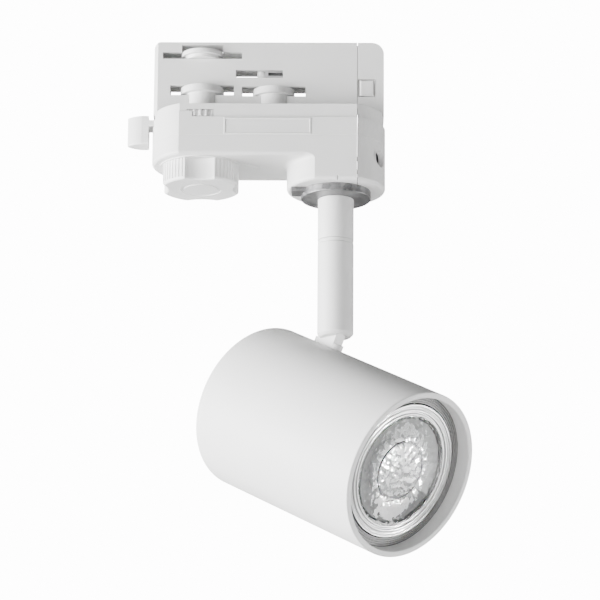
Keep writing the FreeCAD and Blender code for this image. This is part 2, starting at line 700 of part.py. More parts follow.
def makeBottomCover():
    body = newBody("bottom_cover")
    base = newSketch(body, "XY", coverZ)
    roundedOutline(base, capX, 0)
    pad(body, base, S.coverDepth)
    boss = newSketch(body, "XY", bossZ)
    reach = root(endRadius * endRadius - halfWidth * halfWidth)
    bossLeft = stemX - reach
    outline(boss, [(bossLeft, -halfWidth), (capX, -halfWidth), (capX, halfWidth), (bossLeft, halfWidth)],
            {3: endRadius})
    pad(body, boss, S.bossDepth + S.coverDepth / 2)
    roundEdges(body, "Fillet", S.lowerEdge,
               lambda edge: outerLowEdge(edge, bossZ) or outerLowEdge(edge, coverZ))
    # a low pad round the knob runs to a point on the stem's side
    padHeight = 0.35
    point = knobX + 22.3
    rim = newSketch(body, "XY", coverZ - padHeight)
    circle(rim, knobX, 0, S.knobRadius + 0.6)
    pad(body, rim, S.housingWall / 2 + padHeight)
    arrow = newSketch(body, "XY", coverZ - padHeight)
    outline(arrow, [(knobX + 9, -12.5), (point, -0.5), (point, 0.5), (knobX + 9, 12.5)])
    pad(body, arrow, S.housingWall / 2 + padHeight)
    room = newSketch(body, "XY", coverZ + S.housingWall)
    roundedOutline(room, capX - S.housingWall, S.housingWall)
    pocket(body, room, S.coverDepth - S.housingWall, reverse=True)
    well = newSketch(body, "XY", bossFloorZ)
    wellRadius = endRadius - S.housingWall
    wellSide = halfWidth - 4.6
    wellLeft = stemX - root(wellRadius * wellRadius - wellSide * wellSide)
    wellRight = capX - S.housingWall
    outline(well, [(wellLeft, -wellSide), (wellRight, -wellSide),
                   (wellRight, wellSide), (wellLeft, wellSide)], {3: wellRadius})
    pocket(body, well, coverZ + S.housingWall - bossFloorZ, reverse=True)
    seam = newSketch(body, "XY", middleZ - S.seamWidth)
    roundedOutline(seam, capX, -1)
    roundedOutline(seam, capX - 0.1, S.seamDepth)
    pocket(body, seam, S.seamWidth, reverse=True)
    index = newSketch(body, "XZ", halfWidth)
    rectangle(index, stemX + 0.4, stemX + 0.8, bossZ, bossZ + 1.5)
    pocket(body, index, 1.2)
    # four posts take the screws that come down through the flange
    posts = newSketch(body, "XY", coverZ + S.housingWall - 0.2)
    for x, y in screwPlaces:
        circle(posts, x, y, S.screwHeadRadius + 0.3)
    pad(body, posts, S.coverDepth - S.housingWall + 0.2)
    holes = newSketch(body, "XY", coverZ + S.housingWall)
    for x, y in screwPlaces:
        circle(holes, x, y, S.screwRadius + S.fixClearance)
    pocket(body, holes, S.coverDepth - S.housingWall, reverse=True)
    bores = newSketch(body, "XY", coverZ - padHeight)
    circle(bores, knobX, 0, S.hubRadius + S.runClearance)
    pocket(body, bores, S.housingWall + padHeight, reverse=True)
    stemHole = newSketch(body, "XY", bossZ)
    circle(stemHole, stemX, 0, S.nippleRadius + S.fixClearance)
    pocket(body, stemHole, S.bossFloor, reverse=True)
    # the mounting disc's tab lies in this recess and stops the disc turning
    tabRoom = newSketch(body, "XY", bossZ)
    rectangle(tabRoom, stemX - 16.8, stemX - 9, -7.3, 0.3)
    pocket(body, tabRoom, 0.2, reverse=True)
    # the washer and nut reach through the wall at the end cap's joint
    nutRoom = newSketch(body, "YZ", capX - S.housingWall)
    nutRoomHalf = 6.6
    rectangle(nutRoom, -nutRoomHalf, nutRoomHalf, bossFloorZ,
              bossFloorZ + S.washerThickness + S.nutHeight + 0.7)
    pocket(body, nutRoom, S.housingWall, reverse=True)
    capScrewHoles = newSketch(body, "YZ", capX - S.housingWall)
    for side in (-1, 1):
        circle(capScrewHoles, side * capScrewY, capScrewZ, capScrewRadius + S.fixClearance)
    pocket(body, capScrewHoles, S.housingWall, reverse=True)


capScrewY = 8.0
capScrewZ = coverZ + 1.1
capScrewRadius = 0.9
capScrewHead = 2.6
capRecessRadius = 3.1
capScrewSeat = stemX + 13.4


def makeEndCap():
    # Closes the right end of every layer and holds the latch button.
    body = newBody("end_cap")
    joint = capX + S.jointGap
    reach = S.capJointReach + S.jointGap

    def capOutline(sketch, radius, start, offset):
        side = root(radius * radius - offset * offset)
        outline(sketch, [(start, side), (start, -side)], {1: radius})

    lower = newSketch(body, "XY", bossZ)
    capOutline(lower, endRadius, joint, reach)
    pad(body, lower, flangeZ - bossZ)
    layer = newSketch(body, "XY", flangeZ)
    capOutline(layer, endRadius - S.flangeSetback, joint, reach)
    pad(body, layer, S.flangeDepth)
    upper = newSketch(body, "XZ")
    right = stemX + S.upperRightReach
    corner = S.capCorner
    top = S.upperHeight
    outline(upper, [(joint, -1), (right, -1), (right, top - corner), (right - corner, top), (joint, top)],
            {2: corner})
    pad(body, upper, S.upperThickness, middle=True)
    roundEdges(body, "Fillet", S.lowerEdge, lambda edge: outerLowEdge(edge, bossZ))
    # a thinner web closes the upper part of the joint, behind the gap that shows
    web = newSketch(body, "YZ", capX)
    webSide = halfUpper - S.jointGroove
    rectangle(web, -webSide, webSide, S.bridgeRoom, top - S.jointGroove)
    pad(body, web, S.jointGap + S.upperWall)
    hollow = newSketch(body, "XY", bossZ + S.housingWall)
    capOutline(hollow, endRadius - S.housingWall, joint, reach)
    pocket(body, hollow, -S.plateThickness - bossZ - S.housingWall, reverse=True)
    seam = newSketch(body, "XY", middleZ - S.seamWidth)
    capOutline(seam, endRadius + 1, joint - 0.5, reach - 0.5)
    capOutline(seam, endRadius - S.seamDepth, joint - 0.25, reach - 0.25)
    pocket(body, seam, S.seamWidth, reverse=True)
    window = newSketch(body, "XZ", halfUpper)
    rectangle(window, joint, capX + S.latchWindow - 0.2, S.latchLow, S.latchLow + S.latchWindow)
    pocket(body, window, S.latchLip)
    chamber = newSketch(body, "XZ", halfUpper - S.latchLip)
    rectangle(chamber, joint, capX + S.latchWindow + 1.1, S.latchLow - 0.8, S.latchLow + S.latchWindow + 0.8)
    pocket(body, chamber, S.upperThickness - S.latchLip * 2)
    # two recessed screws hold the cap to the bottom cover
    for side in (-1, 1):
        recess = newSketch(body, "YZ", capScrewSeat)
        circle(recess, side * capScrewY, capScrewZ, capRecessRadius)
        post = newSketch(body, "YZ", joint)
        circle(post, side * capScrewY, capScrewZ, capRecessRadius + 0.9)
        pad(body, post, capScrewSeat + 1.2 - joint)
        shank = newSketch(body, "YZ", joint)
        circle(shank, side * capScrewY, capScrewZ, capScrewRadius + S.fixClearance)
        pocket(body, shank, capScrewSeat - joint, reverse=True)
        pocket(body, recess, 10.0, reverse=True)
    return body


def makeHousingScrews():
    screws = []
    top = -0.2 - S.screwHeadHeight
    for x, y in screwPlaces:
        head = rod(S.screwHeadRadius, top, top + S.screwHeadHeight, x, y)
        shank = rod(S.screwRadius, coverZ + S.housingWall + 0.3, top, x, y)
        across = block(x - S.screwHeadRadius * 0.7, x + S.screwHeadRadius * 0.7, y - 0.3, y + 0.3,
                       -0.9, 0.1)
        along = block(x - 0.3, x + 0.3, y - S.screwHeadRadius * 0.7, y + S.screwHeadRadius * 0.7,
                      -0.9, 0.1)
        screws.append(cut(join(head, shank), across, along))
    keep(group(*screws), "housing_screws")


def makeCapScrews():
    screws = []
    seat = capScrewSeat
    for side in (-1, 1):
        y = side * capScrewY
        start = capX - S.housingWall + 0.2
        shank = rodAlong("X", capScrewRadius, seat - start, start, y, capScrewZ)
        head = rodAlong("X", capScrewHead, 1.5, seat, y, capScrewZ)
        across = block(seat + 0.8, seat + 1.6, y - 1.7, y + 1.7, capScrewZ - 0.3, capScrewZ + 0.3)
        screws.append(cut(join(shank, head), across))
    keep(group(*screws), "cap_screws")


# ---- lever, cams, link ----

def makeLever():
    # Ring, arm and finger tab, about the knob axis.
    body = newBody("lock_lever", upright(knobX))
    thickness = ringHigh - ringLow
    ring = newSketch(body, "XY", ringLow)
    circle(ring, 0, 0, S.ringRadius)
    pad(body, ring, thickness)
    arm = newSketch(body, "XY", ringLow)
    rectangle(arm, -S.tabInner - 1, -S.ringRadius + 2, -S.armWidth / 2, S.armWidth / 2)
    pad(body, arm, thickness)
    tab = newSketch(body, "XY", -S.tabBottom)
    shoulder = S.tabInner + 2.6
    outline(tab, [(-S.tabInner, S.armWidth / 2), (-shoulder, S.armWidth / 2), (-S.tabOuter, 0.6),
                  (-S.tabOuter, -0.6), (-shoulder, -S.armWidth / 2), (-S.tabInner, -S.armWidth / 2)],
            {1: Size(9), 3: Size(9)})
    pad(body, tab, S.tabBottom - S.tabTop)
    tabLow = -S.tabBottom.value
    roundEdges(body, "Fillet", S.tabEdge,
               lambda edge: max(abs(edge.BoundBox.ZMax - tabLow), abs(edge.BoundBox.ZMin - tabLow)) < 0.001)
    pin = newSketch(body, "XY", ringLow - S.crankPinLength)
    corner = S.crankThrow * math.cos(math.radians(45))
    circle(pin, -corner, corner, S.crankPinRadius)
    pad(body, pin, S.crankPinLength + 0.2)
    bore = newSketch(body, "XY", ringLow)
    circle(bore, 0, 0, S.shaftRadius + S.runClearance)
    pocket(body, bore, thickness, reverse=True)
    # finger ribs that show in the flange's opening, cut one by one round the rim
    for angle in (-102, -94, -86, -78):
        groove = newSketch(body, "XY", ringLow)
        direction = math.radians(angle)
        circle(groove, S.ringRadius * math.cos(direction), S.ringRadius * math.sin(direction), 0.75)
        pocket(body, groove, thickness, reverse=True)


def makeLeftCam():
    neck = rod(S.neckRadius, ringHigh, S.leftCamLow, knobX)
    disc = rod(S.leftCamRadius, S.leftCamLow, S.leftCamLow + S.camThickness, knobX)
    bore = rod(S.shaftRadius + S.runClearance, ringHigh - 1, S.leftCamLow + S.camThickness + 1, knobX)
    keep(cut(join(neck, disc), bore), "left_lock_cam")


def makeRightCam():
    corner = S.crankThrow * math.cos(math.radians(45))
    crank = rod(S.crankRadius, ringLow, ringHigh, rotorX)
    pin = rod(S.crankPinRadius, ringLow - S.crankPinLength, ringLow, rotorX - corner, corner)
    neck = rod(S.neckRadius, ringHigh, S.rightCamLow, rotorX)
    disc = rod(S.rightCamRadius, S.rightCamLow, S.rightCamLow + S.camThickness, rotorX)
    journal = rod(S.shaftRadius, S.rightCamLow + S.camThickness, S.ribHeight + S.ribThickness - 0.2, rotorX)
    keep(join(crank, pin, neck, disc, journal), "right_lock_cam")


def makeLink():
    # Ties the two cranks together, so that both cams turn as one.
    corner = S.crankThrow.value * math.cos(math.radians(45))
    low = ringLow - 0.4 - S.linkThickness
    body = newBody("link_bar", Placement(Vector(knobX.value - corner, corner, low.value), Rotation()))
    bar = newSketch(body, "XY")
    far = S.rotorOffset
    outline(bar, [(0, -S.linkEnd), (far, -S.linkEnd), (far, S.linkEnd), (0, S.linkEnd)],
            {1: S.linkEnd, 3: S.linkEnd})
    pad(body, bar, S.linkThickness)
    holes = newSketch(body, "XY")
    circle(holes, 0, 0, S.crankPinRadius + S.runClearance)
    circle(holes, far, 0, S.crankPinRadius + S.runClearance)
    pocket(body, holes, S.linkThickness, reverse=True)


# ---- selector ----

def makeKnob():
    # Four serrated lobes between four smooth flutes, with a hub that runs in the bottom cover.
    body = newBody("selector_knob", upright(knobX))
    low = -S.knobTop - S.knobHeight
    disc = newSketch(body, "XY", low)
    circle(disc, 0, 0, S.knobRadius)
    pad(body, disc, S.knobHeight)
    flute = newSketch(body, "XY", low)
    circle(flute, S.knobFluteDepth + S.knobFluteRadius, 0, S.knobFluteRadius)
    cutter = pocket(body, flute, S.knobHeight, reverse=True)
    pattern = body.newObject("PartDesign::PolarPattern", "PolarPattern")
    pattern.Originals = [cutter]
    pattern.Axis = (originItem(body, "Z_Axis"), [""])
    pattern.Angle = 360
    pattern.Occurrences = 4
    body.Tip = pattern
    doc.recompute()
    lowZ = low.value
    roundEdges(body, "Fillet", S.knobEdge,
               lambda edge: abs(edge.BoundBox.ZMax - lowZ) < 0.001 and abs(edge.BoundBox.ZMin - lowZ) < 0.001)
    grooves = newSketch(body, "XY", low + S.knobEdge * 1.3)
    lobeHalf = 20.0
    perLobe = 8
    for lobe in range(4):
        for step in range(perLobe):
            angle = math.radians(45 + 90 * lobe - lobeHalf + 2 * lobeHalf * step / (perLobe - 1))
            circle(grooves, S.knobRadius * math.cos(angle), S.knobRadius * math.sin(angle), S.serration)
    pocket(body, grooves, S.knobHeight - S.knobEdge * 1.3, reverse=True)
    dish = newSketch(body, "XY", low)
    circle(dish, 0, 0, S.knobRadius * 0.5)
    circle(dish, 0, 0, S.knobRadius * 0.42)
    pocket(body, dish, 0.35, reverse=True)
    pointer = newSketch(body, "XY", low)
    tip = S.knobFluteDepth - 2.2
    outline(pointer, [(-0.9, -tip), (0.9, -tip), (0, -tip - 1.5)])
    pocket(body, pointer, 0.35, reverse=True)
    hub = newSketch(body, "XY", -S.knobTop)
    circle(hub, 0, 0, S.hubRadius)
    pad(body, hub, S.hubLength)
    bore = newSketch(body, "XY", -S.knobTop + S.hubLength)
    circle(bore, 0, 0, S.shaftRadius)
    pocket(body, bore, S.hubLength)


def makeSelectorShaft():
    keep(rod(S.shaftRadius, -S.knobTop, S.upperHeight - S.upperWall - 0.4, knobX), "selector_shaft")


def makeContactCarrier():
    discLowZ = S.carrierLow + S.carrierNeckHeight
    bladeLow = discLowZ + S.carrierDisc / 2 - S.bladeThickness / 2
    neck = rod(S.carrierNeck, S.carrierLow, discLowZ, knobX)
    disc = rod(S.carrierRadius, discLowZ, discLowZ + S.carrierDisc, knobX)
    bore = rod(S.shaftRadius, S.carrierLow - 1, discLowZ + S.carrierDisc + 1, knobX)

    def bladeBlock():
        return block(knobX - 7, knobX + 7, -3, 3, bladeLow, bladeLow + S.bladeThickness)

    keep(cut(join(neck, disc), bore, bladeBlock()), "contact_carrier")
    keep(cut(bladeBlock(), rod(S.shaftRadius, bladeLow - 1, bladeLow + 2, knobX)), "phase_contact")


# ---- contacts and terminals in the adapter ----

postX = rotorX - 4.8


def makeContacts():
    keep(rod(1.5, S.ribHeight + S.ribThickness, S.upperHeight - S.upperWall, postX), "contact_post")
    left = postX + 1.5
    right = rotorX + S.middleSlotRight - 0.1
    low = S.middleSlotLow + 0.35
    high = S.middleSlotHigh - 0.45
    outside = block(left, right, -halfUpper + 0.35, halfUpper - S.upperWall - 0.1, low, high)
    inside = block(left + 1.2, right + 1, -halfUpper, halfUpper - S.upperWall - 0.6, low + 0.45, high - 0.45)
    keep(cut(outside, inside), "neutral_contact")


blockLeft = rotorX + 6.3
blockRight = blockLeft + 11
blockTop = coverZ + S.housingWall + 7.6


def makeTerminalBlock():
    floor = coverZ + S.housingWall
    base = block(blockLeft, blockRight, -5, 5, floor, blockTop)
    tools = []
    for row in (-3.2, 0.0, 3.2):
        tools.append(rodAlong("X", 1.25, 5.0, blockRight - 4, row, floor + 3.5))
        tools.append(rod(1.0, blockTop - 1.2, blockTop + 1, blockRight - 2.2, row))
    keep(cut(base, *tools), "terminal_block")
    screws = [rod(1.0, blockTop - 1.2, blockTop - 0.1, blockRight - 2.2, row) for row in (-3.2, 0.0, 3.2)]
    keep(group(*screws), "terminal_screws")


# ---- latch button ----

def makeLatch():
    left = capX + S.jointGap
    body = newBody("latch_button")
    plate = newSketch(body, "XZ", halfUpper - S.latchLip - 0.1)
    rectangle(plate, left + 0.15, capX + S.latchWindow + 0.9, S.latchLow - 0.6,
              S.latchLow + S.latchWindow + 0.6)
    pad(body, plate, S.latchBase, reverse=True)
    button = newSketch(body, "XZ", halfUpper - S.latchLip - 0.2)
    rectangle(button, capX + 1.0, capX + 6.4, S.latchLow + 0.45, S.latchLow + S.latchWindow - 0.45)
    pad(body, button, S.latchLip + 0.5)
    frontY = -(halfUpper + 0.3).value
    roundEdges(body, "Chamfer", 0.5,
               lambda edge: max(abs(edge.BoundBox.YMax - frontY), abs(edge.BoundBox.YMin - frontY)) < 0.01)


def makeLatchSpring():
    # A bent leaf between the button's base and the back wall of its chamber.
    body = newBody("latch_spring")
    near = -halfUpper + S.latchLip + 0.1 + S.latchBase
    far = halfUpper - S.latchLip
    left = capX + 0.9
    right = capX + S.latchWindow - 0.1
    middle = (left + right) / 2
    leaf = newSketch(body, "XY", S.latchLow + 1.5)
    outline(leaf, [(left, far), (middle, near), (right, far), (right - 0.4, far), (middle, near + 0.5),
                   (left + 0.4, far)])
    pad(body, leaf, S.latchWindow - 3)


# ---- stem ----

def makeMountingDisc():
    body = newBody("mounting_disc", upright(stemX))
    disc = newSketch(body, "XY", discLow)
    circle(disc, 0, 0, S.discRadius)
    pad(body, disc, S.discThickness)
    tab = newSketch(body, "XY", bossZ - 1.6)
    rectangle(tab, -16.5, -10, -7, 0)
    pad(body, tab, 1.6)
    bore = newSketch(body, "XY", discLow)
    circle(bore, 0, 0, S.nippleRadius + S.fixClearance)
    pocket(body, bore, S.discThickness, reverse=True)
    lowZ = discLow.value
    roundEdges(body, "Chamfer", 0.25,
               lambda edge: edge.BoundBox.XLength > 20 and abs(edge.BoundBox.ZMax - lowZ) < 0.001)


def tube(label, outer, inner, low, high, placement):
    body = newBody(label, placement)
    ring = newSketch(body, "XY", low)
    circle(ring, 0, 0, outer)
    circle(ring, 0, 0, inner)
    pad(body, ring, sized(high) - low)
    return body


def hexNut(label, flats, bore, low, height, placement):
    body = newBody(label, placement)
    ring = newSketch(body, "XY", low)
    corners = []
    for i in range(6):
        angle = math.radians(60 * i)
        reach = flats / math.sqrt(3)
        corners.append((reach * math.cos(angle), reach * math.sin(angle)))
    outline(ring, corners)
    circle(ring, 0, 0, bore)
    pad(body, ring, height)


def makeUpperStem():
    place_ = upright(stemX)
    tube("nipple", S.nippleRadius, S.nippleBore, discLow - S.nippleBelow, bossZ + S.nippleAbove, place_)
    tube("lock_washer", S.washerRadius, S.nippleRadius + S.fixClearance, bossFloorZ,
         bossFloorZ + S.washerThickness, place_)
    hexNut("lock_nut", S.nutFlats, S.nippleRadius + S.fixClearance, bossFloorZ + S.washerThickness,
           S.nutHeight, place_)
    stem = tube("upper_stem", S.stemRadius, S.stemBore, upperStemLow, discLow, place_)
    floor = newSketch(stem, "XY", upperStemLow)
    circle(floor, 0, 0, S.stemBore + 0.2)
    circle(floor, 0, 0, S.bushRadius + S.runClearance)
    pad(stem, floor, S.swivelFloor)
    tube("swivel_ring", S.stemRadius - 0.08, S.bushRadius + S.runClearance,
         upperStemLow - S.ringSpace - S.ringHeight, upperStemLow - S.ringSpace, place_)


stopRadius = 0.3
stopTrack = 4.1


def makeSwivel():
    # The bush hangs in the upper stem's floor and is screwed into the lower stem.
    headLow = upperStemLow + S.swivelFloor + S.ringSpace / 2
    body = tube("swivel_bush", S.bushRadius, S.bushBore, lowerStemHigh - S.bushGrip, headLow, swivelPlace)
    head = newSketch(body, "XY", headLow - 0.01)
    circle(head, 0, 0, S.bushHead)
    circle(head, 0, 0, S.bushBore)
    pad(body, head, S.bushHeadHeight)
    lug = newSketch(body, "XY", headLow + S.bushHeadHeight - 0.2)
    direction = math.radians(S.panRest.value - 90)
    circle(lug, stopTrack * math.cos(direction), stopTrack * math.sin(direction), stopRadius)
    pad(body, lug, 1.1)
    level = headLow + S.bushHeadHeight + 0.5
    pin = rodAlong("Y", stopRadius, S.stemBore - 3.2, stemX, 3.2, level)
    keep(pin, "pan_stop_pin")


def makeLowerStem():
    body = newBody("lower_stem", swivelPlace)
    barrel = newSketch(body, "XY", stemLow)
    circle(barrel, 0, 0, S.stemRadius)
    pad(body, barrel, S.lowerStemLength)
    lowZ = stemLow.value
    roundEdges(body, "Fillet", S.stemEdge,
               lambda edge: abs(edge.BoundBox.ZMax - lowZ) < 0.001 and abs(edge.BoundBox.ZMin - lowZ) < 0.001)
    thread = newSketch(body, "XY", lowerStemHigh - S.bushGrip)
    circle(thread, 0, 0, S.bushRadius + S.fixClearance)
    pocket(body, thread, S.bushGrip, reverse=True)
    wireRoom = newSketch(body, "XY", pivotZ + S.slotRise)
    circle(wireRoom, 0, 0, S.stemBore)
    pocket(body, wireRoom, lowerStemHigh - S.bushGrip - pivotZ - S.slotRise, reverse=True)
    # the slot is open at the rear, where the tongue swings, and closed by a wall at the front
    slot = newSketch(body, "XZ")
    rear = -S.stemRadius - 1
    front = S.tongueWidth / 2 + 0.2
    outline(slot, [
        (rear, stemLow - 1), (front, stemLow - 1), (front, pivotZ + front), (0, pivotZ + front),
        (0, pivotZ + S.slotRise), (rear, pivotZ + S.slotRise),
    ])
    pocket(body, slot, S.slotWidth, middle=True)
    pinHole = newSketch(body, "XZ")
    circle(pinHole, 0, pivotZ, S.pinRadius + S.fixClearance)
    pocket(body, pinHole, S.pinLength + 0.2, middle=True)
    pin = rodAlong("Y", S.pinRadius, S.pinLength, 0, -S.pinLength / 2, 0)
    holder = featurePlaced(pin, "pivot_pin", pivotPlace)
    return holder


def featurePlaced(item, label, placement):
    # Moves a primitive into one of the turned frames.
    carrier = doc.addObject("Part::Compound", label + "_group")
    carrier.Links = [item]
    carrier.Placement = placement
    return keep(carrier, label)


# ---- head ----

def makeTiltBracket():
    # Tongue, foot and hollow stud in one piece. Local origin at the tilt pin.
    body = newBody("tilt_bracket", pivotPlace)
    half = S.tongueWidth / 2
    tongue = newSketch(body, "XZ")
    outline(tongue, [(half, 0), (-half, 0), (-half, -S.tongueLength), (half, -S.tongueLength)], {0: half})
    pad(body, tongue, S.tongueThickness, middle=True)
    foot = newSketch(body, "XY", -S.tongueLength)
    side = S.tongueThickness / 2
    reach = S.footLength / 2 - side
    outline(foot, [(-reach, -side), (reach, -side), (reach, side), (-reach, side)], {1: side, 3: side})
    pad(body, foot, S.footThickness)
    stud = newSketch(body, "XY", -S.tongueLength - S.studLength)
    circle(stud, 0, 0, S.studRadius)
    pad(body, stud, S.studLength + 0.2)
    way = newSketch(body, "XY", -S.tongueLength - S.studLength)
    circle(way, 0, 0, S.studBore)
    pocket(body, way, S.studLength + 3.0, reverse=True)
    exitHole = newSketch(body, "YZ", -half - 1)
    circle(exitHole, 0, -S.tongueLength + 3.6, S.studBore - 0.2)
    pocket(body, exitHole, half + 1, reverse=True)
    pinHole = newSketch(body, "XZ")
    circle(pinHole, 0, 0, S.pinRadius + S.runClearance)
    pocket(body, pinHole, S.tongueThickness, middle=True)


innerRadius = S.headRadius - S.headWall
stripTop = root(innerRadius * innerRadius - S.stripHalfWidth * S.stripHalfWidth) - 0.03
stripLow = stripTop - S.stripThickness


def makeHeadShell():
    body = newBody("head_shell", barrelPlace)
    profile = newSketch(body, "XZ")
    rear = -S.headRear
    front = S.headFront
    edge = S.headEdge
    lip = 0.35
    outline(profile, [
        (rear, 0), (rear + S.headRearWall, 0), (rear + S.headRearWall, innerRadius),
        (front - lip, innerRadius), (front, innerRadius + lip), (front, S.headRadius - lip),
        (front - lip, S.headRadius), (rear + edge, S.headRadius), (rear, S.headRadius - edge),
    ], {7: edge})
    revolve(body, profile, "X")
    hole = newSketch(body, "XY", innerRadius - 1)
    circle(hole, 0, 0, S.studRadius + S.fixClearance)
    pocket(body, hole, S.headWall + 2, reverse=True)


def makeHolderBracket():
    # Steel strip clamped under the stud nut, bent down to carry the lampholder.
    body = newBody("holder_bracket", barrelPlace)
    profile = newSketch(body, "XZ")
    rear = -S.holderRear
    outline(profile, [
        (rear - S.stripThickness, -9), (rear, -9), (rear, stripLow), (6, stripLow), (6, stripTop),
        (rear - S.stripThickness, stripTop),
    ])
    pad(body, profile, S.stripHalfWidth * 2, middle=True)
    hole = newSketch(body, "XY", stripLow)
    circle(hole, 0, 0, S.studRadius + S.fixClearance)
    pocket(body, hole, S.stripThickness, reverse=True)
    screws = newSketch(body, "YZ", rear - S.stripThickness)
    for side in (-1, 1):
        circle(screws, 0, side * S.holderScrewSpread, S.holderScrewRadius + S.fixClearance)
    pocket(body, screws, S.stripThickness, reverse=True)
    nutPlace = barrelPlace
    hexNut("stud_nut", S.studNutFlats, S.studRadius + S.fixClearance, stripLow - S.studNutHeight,
           S.studNutHeight, nutPlace)


def makeHolderScrews():
    rear = -S.holderRear - S.stripThickness
    screws = []
    for side in (-1, 1):
        z = side * S.holderScrewSpread
        head = rodAlong("X", 2.6, 1.6, rear - 1.6, 0, z)
        shank = rodAlong("X", S.holderScrewRadius, S.stripThickness + 5, rear, 0, z)
        across = block(rear - 1.7, rear - 0.9, -1.9, 1.9, z - 0.3, z + 0.3)
        screws.append(cut(join(head, shank), across))
    featurePlaced(group(*screws), "holder_screws", barrelPlace)


lampFront = S.headFront - S.lampRecess
lampRear = lampFront - S.lampLength
rimRear = lampFront - S.lampRimDepth
holderFront = lampRear - 0.1


def ringSector(inner, outer, low, height, start, sweep):
    sector = Part.makeCylinder(outer, height, Vector(0, 0, low), Vector(0, 0, 1), sweep)
    sector.rotate(Vector(0, 0, 0), Vector(0, 0, 1), start)
    return sector.cut(Part.makeCylinder(inner, height, Vector(0, 0, low)))


def makeLampholder():
    # Ceramic holder with two keyed ways: narrow where the pins rest, wide where they come out.
    # Built along Z, then turned on to the head's axis.
    front = holderFront.value
    rear = -S.holderRear.value
    circleRadius = S.pinCircle.value
    neckSlot = S.pinNeck.value + 0.1
    headSlot = S.pinHead.value + 0.2
    cavityHigh = front - S.pinNeckLength.value + 0.3
    cavityLow = cavityHigh - S.pinHeadLength.value - 0.5
    shape = Part.makeCylinder(S.holderRadius.value, front - rear, Vector(0, 0, rear))
    outer = Part.makeCylinder(circleRadius + headSlot, cavityHigh - cavityLow, Vector(0, 0, cavityLow))
    post = Part.makeCylinder(circleRadius - headSlot, cavityHigh - cavityLow, Vector(0, 0, cavityLow))
    shape = shape.cut(outer.cut(post))
    depth = front - cavityHigh + 0.4
    twist = S.twistAngle.value
    for turn in (0, 180):
        way = ringSector(circleRadius - neckSlot, circleRadius + neckSlot, cavityHigh - 0.2, depth, turn, twist)
        for radius, angle in ((neckSlot, turn), (headSlot, turn + twist)):
            x = circleRadius * math.cos(math.radians(angle))
            y = circleRadius * math.sin(math.radians(angle))
            way = way.fuse(Part.makeCylinder(radius, depth, Vector(x, y, cavityHigh - 0.2)))
        shape = shape.cut(way.removeSplitter())
    for side in (-1, 1):
        centre = Vector(side * S.holderScrewSpread.value, 0, rear - 1)
        shape = shape.cut(Part.makeCylinder((S.holderScrewRadius + S.fixClearance).value, 6.2, centre))
    onAxis = Placement(Vector(0, 0, 0), Rotation(Vector(0, 1, 0), 90))
    featureOf("lampholder", shape, barrelPlace.multiply(onAxis))


def turned(label, corners, arcs=None):
    # A turned piece of the lamp; corners are (along the axis, radius).
    body = newBody(label, barrelPlace)
    profile = newSketch(body, "XZ")
    outline(profile, corners, arcs)
    revolve(body, profile, "X")
    return body


def makeLamp():
    wall = S.lampWall
    base = S.lampBaseRadius
    baseFront = lampRear + S.lampBaseLength
    shellRadius = S.lampRadius - 0.5
    # shell: base, then a bell that opens to the rim
    turned("lamp_shell", [
        (lampRear, 0), (lampRear, base), (baseFront, base), (rimRear, shellRadius),
        (rimRear, shellRadius - wall), (baseFront + wall, base - wall), (lampRear + wall, base - wall),
        (lampRear + wall, 0),
    ], {2: -Size(40), 4: Size(40) - wall})
    lensRadius = S.lampRadius - S.lampRimWidth
    step = 0.7
    turned("lamp_rim", [
        (rimRear, lensRadius), (rimRear, S.lampRadius), (lampFront, S.lampRadius),
        (lampFront, S.lampRadius - 1.0), (lampFront - step, S.lampRadius - 1.3),
        (lampFront - step, lensRadius + 1.4), (lampFront, lensRadius + 1.1), (lampFront, lensRadius),
    ])
    lensRear = lampFront - S.lensThickness - 0.3
    turned("lamp_lens", [
        (lensRear, 0), (lensRear, lensRadius - 0.02), (lensRear + S.lensThickness, lensRadius - 0.02),
        (lensRear + S.lensThickness, 0),
    ])
    cupRear = lensRear - 8.0
    cupWall = 0.8
    turned("lamp_reflector", [
        (cupRear, S.opticRadius + 0.3), (lensRear - 0.1, lensRadius - 0.8),
        (lensRear - 0.1, lensRadius - 0.1), (cupRear, S.opticRadius + 0.3 + cupWall),
    ], {0: -Size(24), 2: Size(24) + 0.7})
    opticRear = cupRear
    opticFront = lensRear - 2.2
    turned("lamp_optic", [
        (opticRear, 0), (opticRear, S.opticRadius), (opticFront - 1.6, S.opticRadius), (opticFront, 0),
    ], {2: -Size(34.6)})
    boardRear = opticRear - 1.6
    turned("led_board", [(boardRear, 0), (boardRear, 13.0), (opticRear, 13.0), (opticRear, 0)])
    pins = []
    for side in (-1, 1):
        z = side * S.pinCircle
        neck = rodAlong("X", S.pinNeck, S.pinNeckLength + 0.8, lampRear - S.pinNeckLength, 0, z)
        start = lampRear - S.pinNeckLength - S.pinHeadLength
        head = rodAlong("X", S.pinHead, S.pinHeadLength, start, 0, z)
        pins.append(join(neck, head))
    return pins


def makeBaffleRing():
    # Ribbed ring that closes the gap between the lamp and the head's wall.
    front = S.headFront - S.baffleRecess
    rear = front - S.baffleDepth
    inside = S.lampRadius + S.baffleClearance
    outside = innerRadius - S.runClearance
    rib = (outside - inside) / 4
    groove = 0.5
    turned("baffle_ring", [
        (rear, inside), (front, inside), (front, inside + rib), (front - groove, inside + rib * 1.3),
        (front - groove, inside + rib * 1.9), (front, inside + rib * 2.2), (front, inside + rib * 2.8),
        (front - groove, inside + rib * 3.1), (front - groove, inside + rib * 3.5), (front, outside - 0.2),
        (front, outside), (rear, outside),
    ])


def makeLampPins(pins):
    featurePlaced(group(*pins), "lamp_pins", barrelPlace)


